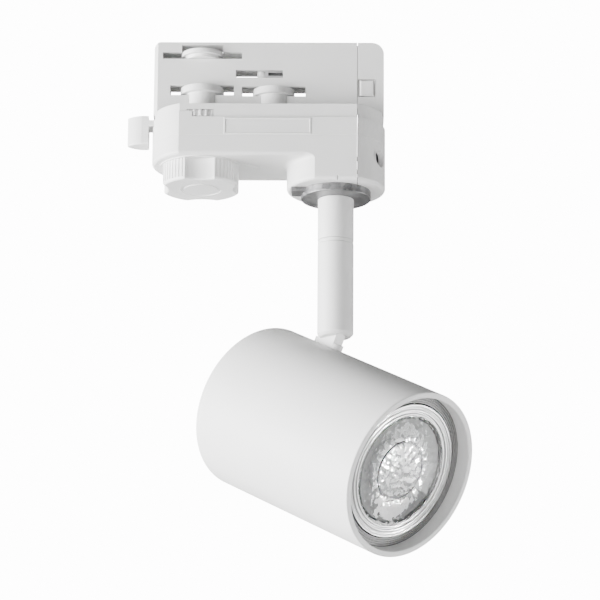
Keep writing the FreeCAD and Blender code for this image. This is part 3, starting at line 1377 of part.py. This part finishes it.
def pinHolesInShell():
    body = parts["lamp_shell"]
    holes = newSketch(body, "YZ", lampRear)
    for side in (-1, 1):
        circle(holes, 0, side * S.pinCircle, S.pinNeck)
    pocket(body, holes, 0.8, reverse=True)


makeUpperHalf("upper_housing_front", True)
makeUpperHalf("upper_housing_back", False)
makeFlange()
makeMiddleHousing()
makeBottomCover()
makeEndCap()
makeHousingScrews()
makeCapScrews()
makeLever()
makeLeftCam()
makeRightCam()
makeLink()
makeKnob()
makeSelectorShaft()
makeContactCarrier()
makeContacts()
makeTerminalBlock()
makeLatch()
makeLatchSpring()
makeMountingDisc()
makeUpperStem()
makeSwivel()
makeLowerStem()
makeTiltBracket()
makeHeadShell()
makeHolderBracket()
makeHolderScrews()
makeLampholder()
lampPins = makeLamp()
pinHolesInShell()
makeLampPins(lampPins)
makeBaffleRing()
doc.recompute()

for item in doc.Objects:
    if "Invalid" in item.State or "Error" in item.State:
        raise RuntimeError("{} ({}) is {}".format(item.Name, item.Label, item.State))
for label, item in parts.items():
    if item.Shape.isNull() or not item.Shape.isValid() or not item.Shape.Solids:
        raise RuntimeError(label + " has no valid solid")

os.makedirs("parts", exist_ok=True)
for label, item in parts.items():
    item.Shape.exportStep("parts/{}.step".format(label))
    print("{:22s} solids {:2d}  volume {:10.1f}".format(label, len(item.Shape.Solids), item.Shape.Volume))
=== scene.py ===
import bpy
import bmesh
import json
import math
from mathutils import Matrix, Vector


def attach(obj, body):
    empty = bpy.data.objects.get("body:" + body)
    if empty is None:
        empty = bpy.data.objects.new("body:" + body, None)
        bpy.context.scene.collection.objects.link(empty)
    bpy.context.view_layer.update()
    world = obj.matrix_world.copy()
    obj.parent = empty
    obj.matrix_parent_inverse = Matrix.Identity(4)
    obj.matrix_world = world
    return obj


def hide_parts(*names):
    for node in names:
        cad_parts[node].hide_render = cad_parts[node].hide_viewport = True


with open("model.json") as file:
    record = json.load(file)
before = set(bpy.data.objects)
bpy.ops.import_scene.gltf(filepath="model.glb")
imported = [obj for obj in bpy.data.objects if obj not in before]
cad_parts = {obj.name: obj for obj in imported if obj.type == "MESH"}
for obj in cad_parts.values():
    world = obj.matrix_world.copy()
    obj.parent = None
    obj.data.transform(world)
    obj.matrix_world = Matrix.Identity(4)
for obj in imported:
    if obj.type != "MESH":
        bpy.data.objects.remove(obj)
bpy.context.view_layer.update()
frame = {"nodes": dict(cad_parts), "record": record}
mm = 0.001

# sizes shared by several pieces, in millimetres
rig = {
    "stemX": 25.2,
    "panRest": 41.2,
    "tiltRest": 26.6,
    "pivotZ": -81.1,
    "axisDrop": 39.0,
    "headRadius": 31.0,
    "headInner": 28.75,
    "headFront": 59.9,
    "headRear": -23.1,
}


# ---- geometry helpers ----

def addMesh(name, verts, faces, place=None, smooth=True, sharp=30.0):
    mesh = bpy.data.meshes.new(name)
    mesh.from_pydata(verts, [], faces)
    work = bmesh.new()
    work.from_mesh(mesh)
    bmesh.ops.remove_doubles(work, verts=work.verts, dist=1e-7)
    bmesh.ops.recalc_face_normals(work, faces=work.faces)
    limit = math.radians(sharp)
    for face in work.faces:
        face.smooth = smooth
    for edge in work.edges:
        if len(edge.link_faces) == 2 and edge.calc_face_angle() > limit:
            edge.smooth = False
    work.to_mesh(mesh)
    work.free()
    obj = bpy.data.objects.new(name, mesh)
    bpy.context.scene.collection.objects.link(obj)
    if place is not None:
        obj.matrix_world = place
    return obj


def rounded(points, radius, steps=5):
    # Rounds every corner of an open profile that has room for it.
    out = [points[0]]
    for before, corner, after in zip(points, points[1:], points[2:]):
        a = Vector(before) - Vector(corner)
        b = Vector(after) - Vector(corner)
        reach = min(radius, a.length * 0.45, b.length * 0.45)
        start = Vector(corner) + a.normalized() * reach
        end = Vector(corner) + b.normalized() * reach
        for i in range(steps + 1):
            t = i / steps
            p = start * (1 - t) ** 2 + Vector(corner) * 2 * t * (1 - t) + end * t ** 2
            out.append((p.x, p.y))
    out.append(points[-1])
    return out


def lathe(name, profile, place, segments=192, along="X", sharp=40.0):
    # profile holds (position along the axis, radius) in millimetres.
    verts, faces = [], []
    count = len(profile)
    for i in range(segments):
        angle = 2 * math.pi * i / segments
        c, s = math.cos(angle), math.sin(angle)
        for x, r in profile:
            if along == "X":
                verts.append((x * mm, r * c * mm, r * s * mm))
            else:
                verts.append((r * c * mm, r * s * mm, x * mm))
    for i in range(segments):
        j = (i + 1) % segments
        for k in range(count - 1):
            quad = [i * count + k, i * count + k + 1, j * count + k + 1, j * count + k]
            if profile[k][1] < 1e-6:
                quad.pop(3)
            elif profile[k + 1][1] < 1e-6:
                quad.pop(2)
            faces.append(quad)
    return addMesh(name, verts, faces, place, sharp=sharp)


def put(obj, body, slotName, material, *nodes):
    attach(obj, body)
    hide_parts(*nodes)
    obj.data.materials.clear()
    obj.data.materials.append(material)
    return obj


def shifted(x, y, z):
    return Matrix.Translation((x * mm, y * mm, z * mm))


def turned(degrees, axis):
    return Matrix.Rotation(math.radians(degrees), 4, axis)


# The stem's frame has its origin on the track plane; the barrel's X axis is the head's axis.
panTurn = turned(-rig["panRest"], "Z")
stemPlace = shifted(rig["stemX"], 0, 0) @ panTurn
pivotPlace = shifted(rig["stemX"], 0, rig["pivotZ"]) @ panTurn @ turned(rig["tiltRest"], "Y")
barrelPlace = pivotPlace @ shifted(0, 0, -rig["axisDrop"])
print("frame ready")


# ---- shared effects ----

def newGroup(name, inputs, outputs):
    group = bpy.data.node_groups.new(name, "ShaderNodeTree")
    for label, kind, value in inputs:
        socket = group.interface.new_socket(label, in_out="INPUT", socket_type=kind)
        socket.default_value = value
    for label, kind in outputs:
        group.interface.new_socket(label, in_out="OUTPUT", socket_type=kind)
    start = group.nodes.new("NodeGroupInput")
    end = group.nodes.new("NodeGroupOutput")
    return group, start, end


def makeGrain():
    # Fine surface grain as a height, and a slow cloudy mask for tone and sheen.
    group, start, end = newGroup(
        "surfaceGrain",
        [("Grain Scale", "NodeSocketFloat", 2500.0), ("Cloud Scale", "NodeSocketFloat", 45.0)],
        [("Height", "NodeSocketFloat"), ("Cloud", "NodeSocketFloat")])
    nodes, links = group.nodes, group.links
    coords = nodes.new("ShaderNodeTexCoord")
    fine = nodes.new("ShaderNodeTexNoise")
    fine.inputs["Detail"].default_value = 3.0
    cloud = nodes.new("ShaderNodeTexNoise")
    cloud.inputs["Detail"].default_value = 4.0
    for texture in (fine, cloud):
        links.new(coords.outputs["Object"], texture.inputs["Vector"])
    links.new(start.outputs["Grain Scale"], fine.inputs["Scale"])
    links.new(start.outputs["Cloud Scale"], cloud.inputs["Scale"])
    links.new(fine.outputs["Fac"], end.inputs["Height"])
    links.new(cloud.outputs["Fac"], end.inputs["Cloud"])
    return group


def makeSpangle():
    # Patchy crystals of zinc on galvanised sheet.
    group, start, end = newGroup(
        "zincSpangle", [("Scale", "NodeSocketFloat", 420.0)],
        [("Tone", "NodeSocketFloat")])
    nodes, links = group.nodes, group.links
    coords = nodes.new("ShaderNodeTexCoord")
    warp = nodes.new("ShaderNodeTexNoise")
    warp.inputs["Scale"].default_value = 700.0
    mixed = nodes.new("ShaderNodeMix")
    mixed.data_type = "VECTOR"
    mixed.inputs["Factor"].default_value = 0.0016
    cells = nodes.new("ShaderNodeTexVoronoi")
    rough = nodes.new("ShaderNodeTexNoise")
    rough.inputs["Scale"].default_value = 1600.0
    blendTone = nodes.new("ShaderNodeMix")
    blendTone.inputs["Factor"].default_value = 0.45
    links.new(coords.outputs["Object"], warp.inputs["Vector"])
    links.new(coords.outputs["Object"], mixed.inputs["A"])
    links.new(warp.outputs["Color"], mixed.inputs["B"])
    links.new(mixed.outputs["Result"], cells.inputs["Vector"])
    links.new(start.outputs["Scale"], cells.inputs["Scale"])
    links.new(coords.outputs["Object"], rough.inputs["Vector"])
    links.new(cells.outputs["Color"], blendTone.inputs["A"])
    links.new(rough.outputs["Fac"], blendTone.inputs["B"])
    links.new(blendTone.outputs["Result"], end.inputs["Tone"])
    return group


grainGroup = makeGrain()
spangleGroup = makeSpangle()


def blankMaterial(name):
    material = bpy.data.materials.new(name)
    material.use_nodes = True
    nodes = material.node_tree.nodes
    return material, nodes, material.node_tree.links, nodes["Principled BSDF"]


def mixColour(nodes, links, factor, low, high):
    mix = nodes.new("ShaderNodeMix")
    mix.data_type = "RGBA"
    mix.inputs["A"].default_value = (*low, 1)
    mix.inputs["B"].default_value = (*high, 1)
    links.new(factor, mix.inputs["Factor"])
    return mix.outputs["Result"]


def spread(nodes, links, value, low, high):
    # Maps a 0.3 to 0.7 noise value on to low to high.
    ranged = nodes.new("ShaderNodeMapRange")
    ranged.inputs["From Min"].default_value = 0.3
    ranged.inputs["From Max"].default_value = 0.7
    ranged.inputs["To Min"].default_value = low
    ranged.inputs["To Max"].default_value = high
    links.new(value, ranged.inputs["Value"])
    return ranged.outputs["Result"]


def bump(nodes, links, shader, height, strength, distance):
    node = nodes.new("ShaderNodeBump")
    node.inputs["Strength"].default_value = strength
    node.inputs["Distance"].default_value = distance
    links.new(height, node.inputs["Height"])
    links.new(node.outputs["Normal"], shader.inputs["Normal"])


def coatedMaterial(name, settings):
    material, nodes, links, shader = blankMaterial(name)
    grain = nodes.new("ShaderNodeGroup")
    grain.node_tree = grainGroup
    grain.inputs["Grain Scale"].default_value = settings["grain"]
    grain.inputs["Cloud Scale"].default_value = settings["cloud"]
    tone = mixColour(nodes, links, grain.outputs["Cloud"], settings["dark"], settings["light"])
    links.new(tone, shader.inputs["Base Color"])
    low, high = settings["roughness"]
    links.new(spread(nodes, links, grain.outputs["Cloud"], low, high), shader.inputs["Roughness"])
    shader.inputs["Metallic"].default_value = settings.get("metallic", 0.0)
    bump(nodes, links, shader, grain.outputs["Height"], settings["bump"], settings["depth"])
    return material


housingWhite = coatedMaterial("housingWhite", {
    "grain": 1800.0, "cloud": 60.0, "dark": (0.72, 0.72, 0.715), "light": (0.78, 0.78, 0.77),
    "roughness": (0.38, 0.5), "bump": 0.12, "depth": 0.00006})
leverWhite = coatedMaterial("leverWhite", {
    "grain": 1800.0, "cloud": 60.0, "dark": (0.77, 0.77, 0.765), "light": (0.82, 0.82, 0.815),
    "roughness": (0.36, 0.46), "bump": 0.1, "depth": 0.00005})
knobWhite = coatedMaterial("knobWhite", {
    "grain": 1500.0, "cloud": 70.0, "dark": (0.82, 0.82, 0.815), "light": (0.87, 0.87, 0.86),
    "roughness": (0.3, 0.4), "bump": 0.08, "depth": 0.00005})
stemWhite = coatedMaterial("stemWhite", {
    "grain": 3200.0, "cloud": 80.0, "dark": (0.74, 0.74, 0.735), "light": (0.79, 0.79, 0.785),
    "roughness": (0.34, 0.44), "bump": 0.12, "depth": 0.00004})
headWhite = coatedMaterial("headWhite", {
    "grain": 2600.0, "cloud": 30.0, "dark": (0.73, 0.73, 0.725), "light": (0.77, 0.77, 0.765),
    "roughness": (0.5, 0.62), "bump": 0.45, "depth": 0.00008})
# The baffle ring's dark grey is painted shade for the shadowed gap between the lamp rim and the head's
# inner wall.
baffleGreyPaintedShade = coatedMaterial("baffleGreyPaintedShade", {
    "grain": 2200.0, "cloud": 60.0, "dark": (0.24, 0.24, 0.24), "light": (0.31, 0.31, 0.31),
    "roughness": (0.4, 0.5), "bump": 0.15, "depth": 0.00005})
lampGrey = coatedMaterial("lampGrey", {
    "grain": 2200.0, "cloud": 60.0, "dark": (0.50, 0.50, 0.50), "light": (0.58, 0.58, 0.575),
    "roughness": (0.25, 0.35), "bump": 0.1, "depth": 0.00004})
ceramicWhite = coatedMaterial("ceramicWhite", {
    "grain": 900.0, "cloud": 90.0, "dark": (0.68, 0.66, 0.6), "light": (0.75, 0.73, 0.68),
    "roughness": (0.2, 0.35), "bump": 0.1, "depth": 0.00006})
brass = coatedMaterial("contactBrass", {
    "grain": 1500.0, "cloud": 120.0, "dark": (0.62, 0.46, 0.24), "light": (0.75, 0.6, 0.34),
    "roughness": (0.22, 0.4), "metallic": 1.0, "bump": 0.15, "depth": 0.00004})
zinc = coatedMaterial("brightZinc", {
    "grain": 1500.0, "cloud": 150.0, "dark": (0.55, 0.55, 0.56), "light": (0.7, 0.7, 0.7),
    "roughness": (0.25, 0.42), "metallic": 1.0, "bump": 0.15, "depth": 0.00004})


def galvanisedMaterial():
    material, nodes, links, shader = blankMaterial("galvanised")
    spangle = nodes.new("ShaderNodeGroup")
    spangle.node_tree = spangleGroup
    spangle.inputs["Scale"].default_value = 520.0
    tone = mixColour(nodes, links, spangle.outputs["Tone"], (0.07, 0.07, 0.075), (0.32, 0.32, 0.32))
    links.new(tone, shader.inputs["Base Color"])
    links.new(spread(nodes, links, spangle.outputs["Tone"], 0.35, 0.6), shader.inputs["Roughness"])
    shader.inputs["Metallic"].default_value = 0.85
    bump(nodes, links, shader, spangle.outputs["Tone"], 0.25, 0.00005)
    return material


galvanised = galvanisedMaterial()


def lensMaterial(name, pattern, roughness, clarity):
    # Clear moulded plastic with a relief: pebbled, or a fine crossed grid.
    material, nodes, links, shader = blankMaterial(name)
    shader.inputs["Base Color"].default_value = (0.95, 0.96, 0.96, 1)
    shader.inputs["Transmission Weight"].default_value = clarity
    shader.inputs["IOR"].default_value = 1.49
    coords = nodes.new("ShaderNodeTexCoord")
    grain = nodes.new("ShaderNodeGroup")
    grain.node_tree = grainGroup
    grain.inputs["Cloud Scale"].default_value = 260.0
    links.new(spread(nodes, links, grain.outputs["Cloud"], *roughness), shader.inputs["Roughness"])
    if pattern == "grid":
        waves = []
        for turn in (45, -45):
            mapping = nodes.new("ShaderNodeMapping")
            mapping.inputs["Rotation"].default_value = (math.radians(turn), 0, 0)
            wave = nodes.new("ShaderNodeTexWave")
            wave.bands_direction = "Y"
            wave.inputs["Scale"].default_value = 190.0
            links.new(coords.outputs["Object"], mapping.inputs["Vector"])
            links.new(mapping.outputs["Vector"], wave.inputs["Vector"])
            waves.append(wave)
        joined = nodes.new("ShaderNodeMath")
        joined.operation = "ADD"
        links.new(waves[0].outputs["Fac"], joined.inputs[0])
        links.new(waves[1].outputs["Fac"], joined.inputs[1])
        bump(nodes, links, shader, joined.outputs["Value"], 0.5, 0.0003)
    else:
        cells = nodes.new("ShaderNodeTexVoronoi")
        cells.feature = "SMOOTH_F1"
        cells.inputs["Scale"].default_value = 520.0
        links.new(coords.outputs["Object"], cells.inputs["Vector"])
        bump(nodes, links, shader, cells.outputs["Distance"], 0.35, 0.0004)
    return material


def ringedMaterial(name, settings):
    # Turned or moulded rings about the lamp's axis as bumps, with painted reflections in the colour: thin
    # bright lines on a greyer ground stand for light caught by the clear glass rings.
    material, nodes, links, shader = blankMaterial(name)
    grain = nodes.new("ShaderNodeGroup")
    grain.node_tree = grainGroup
    grain.inputs["Grain Scale"].default_value = settings["grain"]
    grain.inputs["Cloud Scale"].default_value = settings["cloud"]
    coords = nodes.new("ShaderNodeTexCoord")
    wave = nodes.new("ShaderNodeTexWave")
    wave.wave_type = "RINGS"
    wave.rings_direction = "X"
    wave.inputs["Scale"].default_value = settings["rings"]
    wave.inputs["Distortion"].default_value = settings["waver"]
    wave.inputs["Detail"].default_value = 2.0
    wave.inputs["Detail Scale"].default_value = 1.5
    reflectionLine = nodes.new("ShaderNodeMapRange")
    reflectionLine.inputs["From Min"].default_value = settings["from"]
    reflectionLine.inputs["From Max"].default_value = 1.0
    links.new(coords.outputs["Object"], wave.inputs["Vector"])
    links.new(wave.outputs["Fac"], reflectionLine.inputs["Value"])
    tone = mixColour(nodes, links, reflectionLine.outputs["Result"], settings["dark"], settings["light"])
    links.new(tone, shader.inputs["Base Color"])
    low, high = settings["roughness"]
    links.new(spread(nodes, links, grain.outputs["Cloud"], low, high), shader.inputs["Roughness"])
    shader.inputs["Metallic"].default_value = settings["metallic"]
    shader.inputs["Coat Weight"].default_value = settings["coat"]
    shader.inputs["Coat Roughness"].default_value = 0.05
    bump(nodes, links, shader, wave.outputs["Fac"], settings["bump"], settings["depth"])
    return material


lensClear = lensMaterial("lensClear", "pebble", (0.03, 0.1), 1.0)
opticClear = lensMaterial("opticClear", "grid", (0.12, 0.22), 0.45)
mirror = coatedMaterial("reflectorBright", {
    "grain": 220.0, "cloud": 260.0, "dark": (0.86, 0.86, 0.86), "light": (0.97, 0.97, 0.97),
    "roughness": (0.14, 0.3), "metallic": 0.55, "bump": 0.35, "depth": 0.0006})
# The rim's bright ring lines are painted reflections of clear glass, set on a grey ground.
rimGlassPaintedReflections = ringedMaterial("rimGlassPaintedReflections", {
    "grain": 2200.0, "cloud": 60.0, "rings": 230.0, "waver": 0.8, "from": 0.7,
    "dark": (0.42, 0.42, 0.42), "light": (0.97, 0.97, 0.97), "roughness": (0.1, 0.2),
    "metallic": 0.25, "coat": 1.0, "bump": 0.5, "depth": 0.0004})
print("materials ready")

slotMaterials = {
    "housing_plastic": housingWhite,
    "lever_plastic": leverWhite,
    "knob_plastic": knobWhite,
    "galvanised_steel": galvanised,
    "zinc_steel": zinc,
    "contact_brass": brass,
    "stem_paint": stemWhite,
    "head_paint": headWhite,
    "holder_ceramic": ceramicWhite,
    "terminal_plastic": ceramicWhite,
    "baffle_grey": baffleGreyPaintedShade,
    "lamp_body": lampGrey,
    "lamp_glass": lensClear,
    "lamp_mirror": mirror,
    "led_plate": leverWhite,
}
for part in frame["record"]["subparts"]:
    node = frame["nodes"][part["node"]]
    node.data.materials.clear()
    node.data.materials.append(slotMaterials[part["material_slot"]])


# ---- head ----

def makeHead():
    head = {"rearWall": 2.5, "skin": 0.01, "rearEdge": 1.25, "rimEdge": 0.55}
    front, rear = rig["headFront"], rig["headRear"]
    outer, inner = rig["headRadius"] - head["skin"], rig["headInner"]
    middle = (front + rear) / 2
    floor = rear + head["rearWall"]
    back = rounded([(rear, 0), (rear, outer), (middle, outer)], head["rearEdge"], 6)
    mouth = rounded([
        (middle, outer), (front, outer), (front, inner), (floor, inner), (floor, 0),
    ], head["rimEdge"], 6)
    profile = back[:-1] + mouth
    shell = lathe("headShell", profile, barrelPlace, 256)
    put(shell, "head", "head_paint", headWhite, "head_shell")


def ridges(start, end, inner, outer, count, depth):
    # Points of a ribbed front face: each rib is flat, with a shallow groove after it.
    points = []
    pitch = (outer - inner) / count
    for i in range(count):
        low = inner + i * pitch
        points += [(end, low), (end, low + pitch * 0.55), (end - depth, low + pitch * 0.65),
                   (end - depth, low + pitch * 0.9)]
    return [(start, inner)] + points + [(end, outer), (start, outer)]


def makeMouth():
    baffle = {"rear": 52.35, "front": 54.47, "inside": 25.45, "outside": 28.68, "ribs": 4, "groove": 0.45}
    profile = ridges(baffle["rear"], baffle["front"], baffle["inside"], baffle["outside"],
                     baffle["ribs"], baffle["groove"])
    ring = lathe("baffleRing", rounded(profile, 0.12, 2), barrelPlace, 192)
    put(ring, "head", "baffle_grey", baffleGreyPaintedShade, "baffle_ring")


def makeLampFront():
    lamp = {"rimRear": 50.6, "rimFront": 55.0, "rimOuter": 24.95, "lensRadius": 20.63,
            "lensRear": 53.58, "lensFront": 54.7, "opticRadius": 10.35, "cupRear": 45.6, "opticTop": 51.3}
    front, rear = lamp["rimFront"], lamp["rimRear"]
    edge = lamp["lensRadius"]
    # the rim steps down in rings from its edge to the lens
    rim = lathe("lampRim", rounded([
        (rear, edge), (rear, lamp["rimOuter"]), (front, lamp["rimOuter"]), (front, 24.2),
        (front - 0.5, 24.0), (front - 0.5, 23.3), (front - 0.1, 23.1), (front - 0.1, 22.3),
        (front - 0.7, 22.1), (front - 0.7, 21.5), (front - 0.2, 21.3), (front - 0.2, edge),
        (rear + 0.2, edge),
    ], 0.14, 3), barrelPlace, 192)
    put(rim, "lamp", "lamp_body", rimGlassPaintedReflections, "lamp_rim")

    top = lamp["lensFront"]
    optic = lamp["opticRadius"]
    # a raised bead, a sunk ring, a bead round the optic and a shallow dome
    pane = lathe("lampLens", [
        (lamp["lensRear"], 0), (lamp["lensRear"], edge - 0.05), (top, edge - 0.05), (top, edge - 0.8),
        (top - 0.25, edge - 1.1), (top - 0.25, optic + 1.0), (top + 0.05, optic + 0.7),
        (top + 0.05, optic + 0.3), (top - 0.2, optic), (top - 0.1, optic * 0.6), (top, 0),
    ], barrelPlace, 160)
    put(pane, "lamp", "lamp_glass", lensClear, "lamp_lens")

    # reflector cup in flat facets
    cup = {"segments": 20, "rows": 3, "bottom": 10.75, "top": 19.75, "sag": 0.75, "rearGap": 0.05,
           "lensGap": 0.15}
    depth = lamp["lensRear"] - lamp["cupRear"] - cup["rearGap"] - cup["lensGap"]
    profile = []
    for i in range(cup["rows"] + 1):
        t = i / cup["rows"]
        x = lamp["cupRear"] + cup["rearGap"] + depth * t
        r = cup["bottom"] + (cup["top"] - cup["bottom"]) * t + cup["sag"] * math.sin(math.pi * t)
        profile.append((x, r))
    faceted = lathe("lampReflector", profile, barrelPlace, cup["segments"], sharp=1.0)
    put(faceted, "lamp", "lamp_mirror", mirror, "lamp_reflector")

    domed = []
    steps, domeRise = 10, 1.5
    for i in range(steps + 1):
        t = i / steps
        domed.append((lamp["opticTop"] - domeRise * t * t, optic * t))
    core = lathe("lampOptic", domed + [(lamp["cupRear"], optic), (lamp["cupRear"], 0)], barrelPlace, 128)
    put(core, "lamp", "lamp_glass", opticClear, "lamp_optic")


def cutWith(obj, tools):
    for tool in tools:
        step = obj.modifiers.new("cut", "BOOLEAN")
        step.object = tool
        step.operation = "DIFFERENCE"
        step.solver = "EXACT"
    bpy.context.view_layer.update()
    shape = obj.evaluated_get(bpy.context.evaluated_depsgraph_get())
    mesh = bpy.data.meshes.new_from_object(shape)
    obj.modifiers.clear()
    obj.data = mesh
    for tool in tools:
        bpy.data.objects.remove(tool)


def boxTool(low, high, place):
    x0, y0, z0 = (v * mm for v in low)
    x1, y1, z1 = (v * mm for v in high)
    verts = [(x, y, z) for x in (x0, x1) for y in (y0, y1) for z in (z0, z1)]
    faces = [(0, 1, 3, 2), (4, 6, 7, 5), (0, 4, 5, 1), (2, 3, 7, 6), (0, 2, 6, 4), (1, 5, 7, 3)]
    return addMesh("tool", verts, faces, place, smooth=False)


def rodTool(radius, low, high, place):
    profile = [(low, 0), (low, radius), (high, radius), (high, 0)]
    return lathe("tool", profile, place, 64, along="Z")


def softEdges(obj, width, angle=35.0, weld=False):
    if weld:
        merge = obj.modifiers.new("weld", "WELD")
        merge.merge_threshold = 0.000004
    edge = obj.modifiers.new("edge", "BEVEL")
    edge.width = width * mm
    edge.segments = 2
    edge.limit_method = "ANGLE"
    edge.angle_limit = math.radians(angle)
    even = obj.modifiers.new("even", "WEIGHTED_NORMAL")
    even.keep_sharp = True


def makeStem():
    stem = {"radius": 6.69, "bore": 5.05, "ringLow": -49.9, "ringHigh": -48.55, "low": -85.4,
            "slotWidth": 5.4, "slotTop": -73.4, "frontTop": -76.65, "pin": 1.97}
    upper = lathe("upperStem", rounded([
        (-48.44, stem["bore"]), (-48.44, stem["radius"]), (-32.52, stem["radius"]), (-32.52, stem["bore"]),
    ], 0.22, 4), stemPlace, 128, along="Z")
    put(upper, "adapter", "stem_paint", stemWhite, "upper_stem")
    ring = lathe("swivelRing", rounded([
        (stem["ringLow"], 4.1), (stem["ringLow"], 6.6), (stem["ringHigh"], 6.6), (stem["ringHigh"], 4.1),
    ], 0.2, 4), stemPlace, 128, along="Z")
    put(ring, "adapter", "stem_paint", stemWhite, "swivel_ring")
    lower = lathe("lowerStem", rounded([
        (stem["low"], 0), (stem["low"], 5.6), (stem["low"] + 1.1, stem["radius"]), (-50.02, stem["radius"]),
        (-50.02, 3.98), (-56.0, 3.98), (-56.0, stem["bore"]), (-72.0, stem["bore"]), (-72.0, 0),
    ], 0.25, 4), stemPlace, 128, along="Z")
    half = stem["slotWidth"] / 2
    # the slot keeps a front wall and is open at the rear, where it rises higher
    frontWall, pinHalf, skin = 4.45, 5.7, 0.001
    slotCut = boxTool((-9, -half, -90), (frontWall, half, stem["frontTop"]), stemPlace)
    rearCut = boxTool((-9.1, -half - skin, stem["frontTop"] - 1), (0, half + skin, stem["slotTop"]),
                      stemPlace)
    side = stemPlace @ shifted(0, 0, rig["pivotZ"]) @ turned(-90, "X")
    pinCut = rodTool(stem["pin"], -pinHalf, pinHalf, side)
    cutWith(lower, [slotCut, rearCut, pinCut])
    softEdges(lower, 0.18)
    put(lower, "stem", "stem_paint", stemWhite, "lower_stem")


makeHead()
makeMouth()
makeLampFront()
makeStem()
print("head and stem ready")


# ---- camera, light, floor ----

def makeCamera():
    data = bpy.data.cameras.new("camera")
    data.lens = 204.0
    data.sensor_width = 36.0
    data.clip_start = 0.01
    camera = bpy.data.objects.new("camera", data)
    bpy.context.scene.collection.objects.link(camera)
    right = Vector((0.999933, 0.009398, 0.006688))
    up = Vector((-0.003899, -0.270314, 0.962767))
    back = Vector((0.010855, -0.962728, -0.27026))
    turn = Matrix((right, up, back)).transposed().to_4x4()
    camera.matrix_world = Matrix.Translation((0.02574, -1.21043, -0.41099)) @ turn
    bpy.context.scene.camera = camera


def makeArea(name, size, place, target, power):
    data = bpy.data.lights.new(name, "AREA")
    data.shape = "RECTANGLE"
    data.size, data.size_y = size
    data.energy = power
    light = bpy.data.objects.new(name, data)
    bpy.context.scene.collection.objects.link(light)
    light.location = place
    light.rotation_euler = (Vector(target) - Vector(place)).to_track_quat("-Z", "Y").to_euler()


def makeWorld():
    world = bpy.data.worlds.new("studio")
    bpy.context.scene.world = world
    world.use_nodes = True
    nodes, links = world.node_tree.nodes, world.node_tree.links
    seen = nodes["Background"]
    seen.inputs["Color"].default_value = (1, 1, 1, 1)
    seen.inputs["Strength"].default_value = 14.0
    lit = nodes.new("ShaderNodeBackground")
    lit.inputs["Color"].default_value = (1, 1, 1, 1)
    lit.inputs["Strength"].default_value = 0.2
    rays = nodes.new("ShaderNodeLightPath")
    mix = nodes.new("ShaderNodeMixShader")
    links.new(rays.outputs["Is Camera Ray"], mix.inputs["Fac"])
    links.new(lit.outputs["Background"], mix.inputs[1])
    links.new(seen.outputs["Background"], mix.inputs[2])
    links.new(mix.outputs["Shader"], nodes["World Output"].inputs["Surface"])


def makeFloor():
    material = coatedMaterial("paleFloor", {
        "grain": 300.0, "cloud": 3.0, "dark": (0.8, 0.8, 0.8), "light": (0.84, 0.84, 0.84),
        "roughness": (0.6, 0.75), "bump": 0.02, "depth": 0.0002})
    half, level = 2.5, -0.46
    floor = addMesh("floor", [(-half, -half, level), (half, -half, level), (half, half, level),
                              (-half, half, level)], [(0, 1, 2, 3)])
    floor.data.materials.append(material)


edgeWidths = {
    "upper_housing_front": 0.22, "upper_housing_back": 0.22, "flange_plate": 0.25, "middle_housing": 0.16,
    "bottom_cover": 0.22, "end_cap": 0.25, "lock_lever": 0.25, "left_lock_cam": 0.3, "right_lock_cam": 0.3,
    "selector_knob": 0.1, "contact_carrier": 0.25, "latch_button": 0.15, "mounting_disc": 0.15,
    "tilt_bracket": 0.2,
}
for name, width in edgeWidths.items():
    softEdges(frame["nodes"][name], width, weld=True)
print("edges ready")

makeCamera()
makeWorld()
makeFloor()
makeArea("leftLight", (0.9, 0.9), (-1.25, -0.35, -0.34), (0.02, 0, -0.06), 150.0)
makeArea("frontLight", (0.8, 0.8), (-0.35, -1.5, 0.35), (0.02, 0, -0.06), 4.5)
makeArea("lowLight", (1.2, 0.8), (-0.1, -0.3, -0.44), (0.03, 0, -0.06), 3.0)
makeArea("topLight", (0.8, 0.8), (-0.2, 0.1, 0.8), (0.02, 0, -0.06), 0.8)
makeArea("sideLight", (0.3, 0.3), (0.85, 0.05, -0.3), (0.049, -0.021, -0.14), 5.0)
makeArea("glint", (0.02, 0.02), (0.835, 0.102, -0.441), (0.049, -0.021, -0.14), 2.0)
print("stage ready")
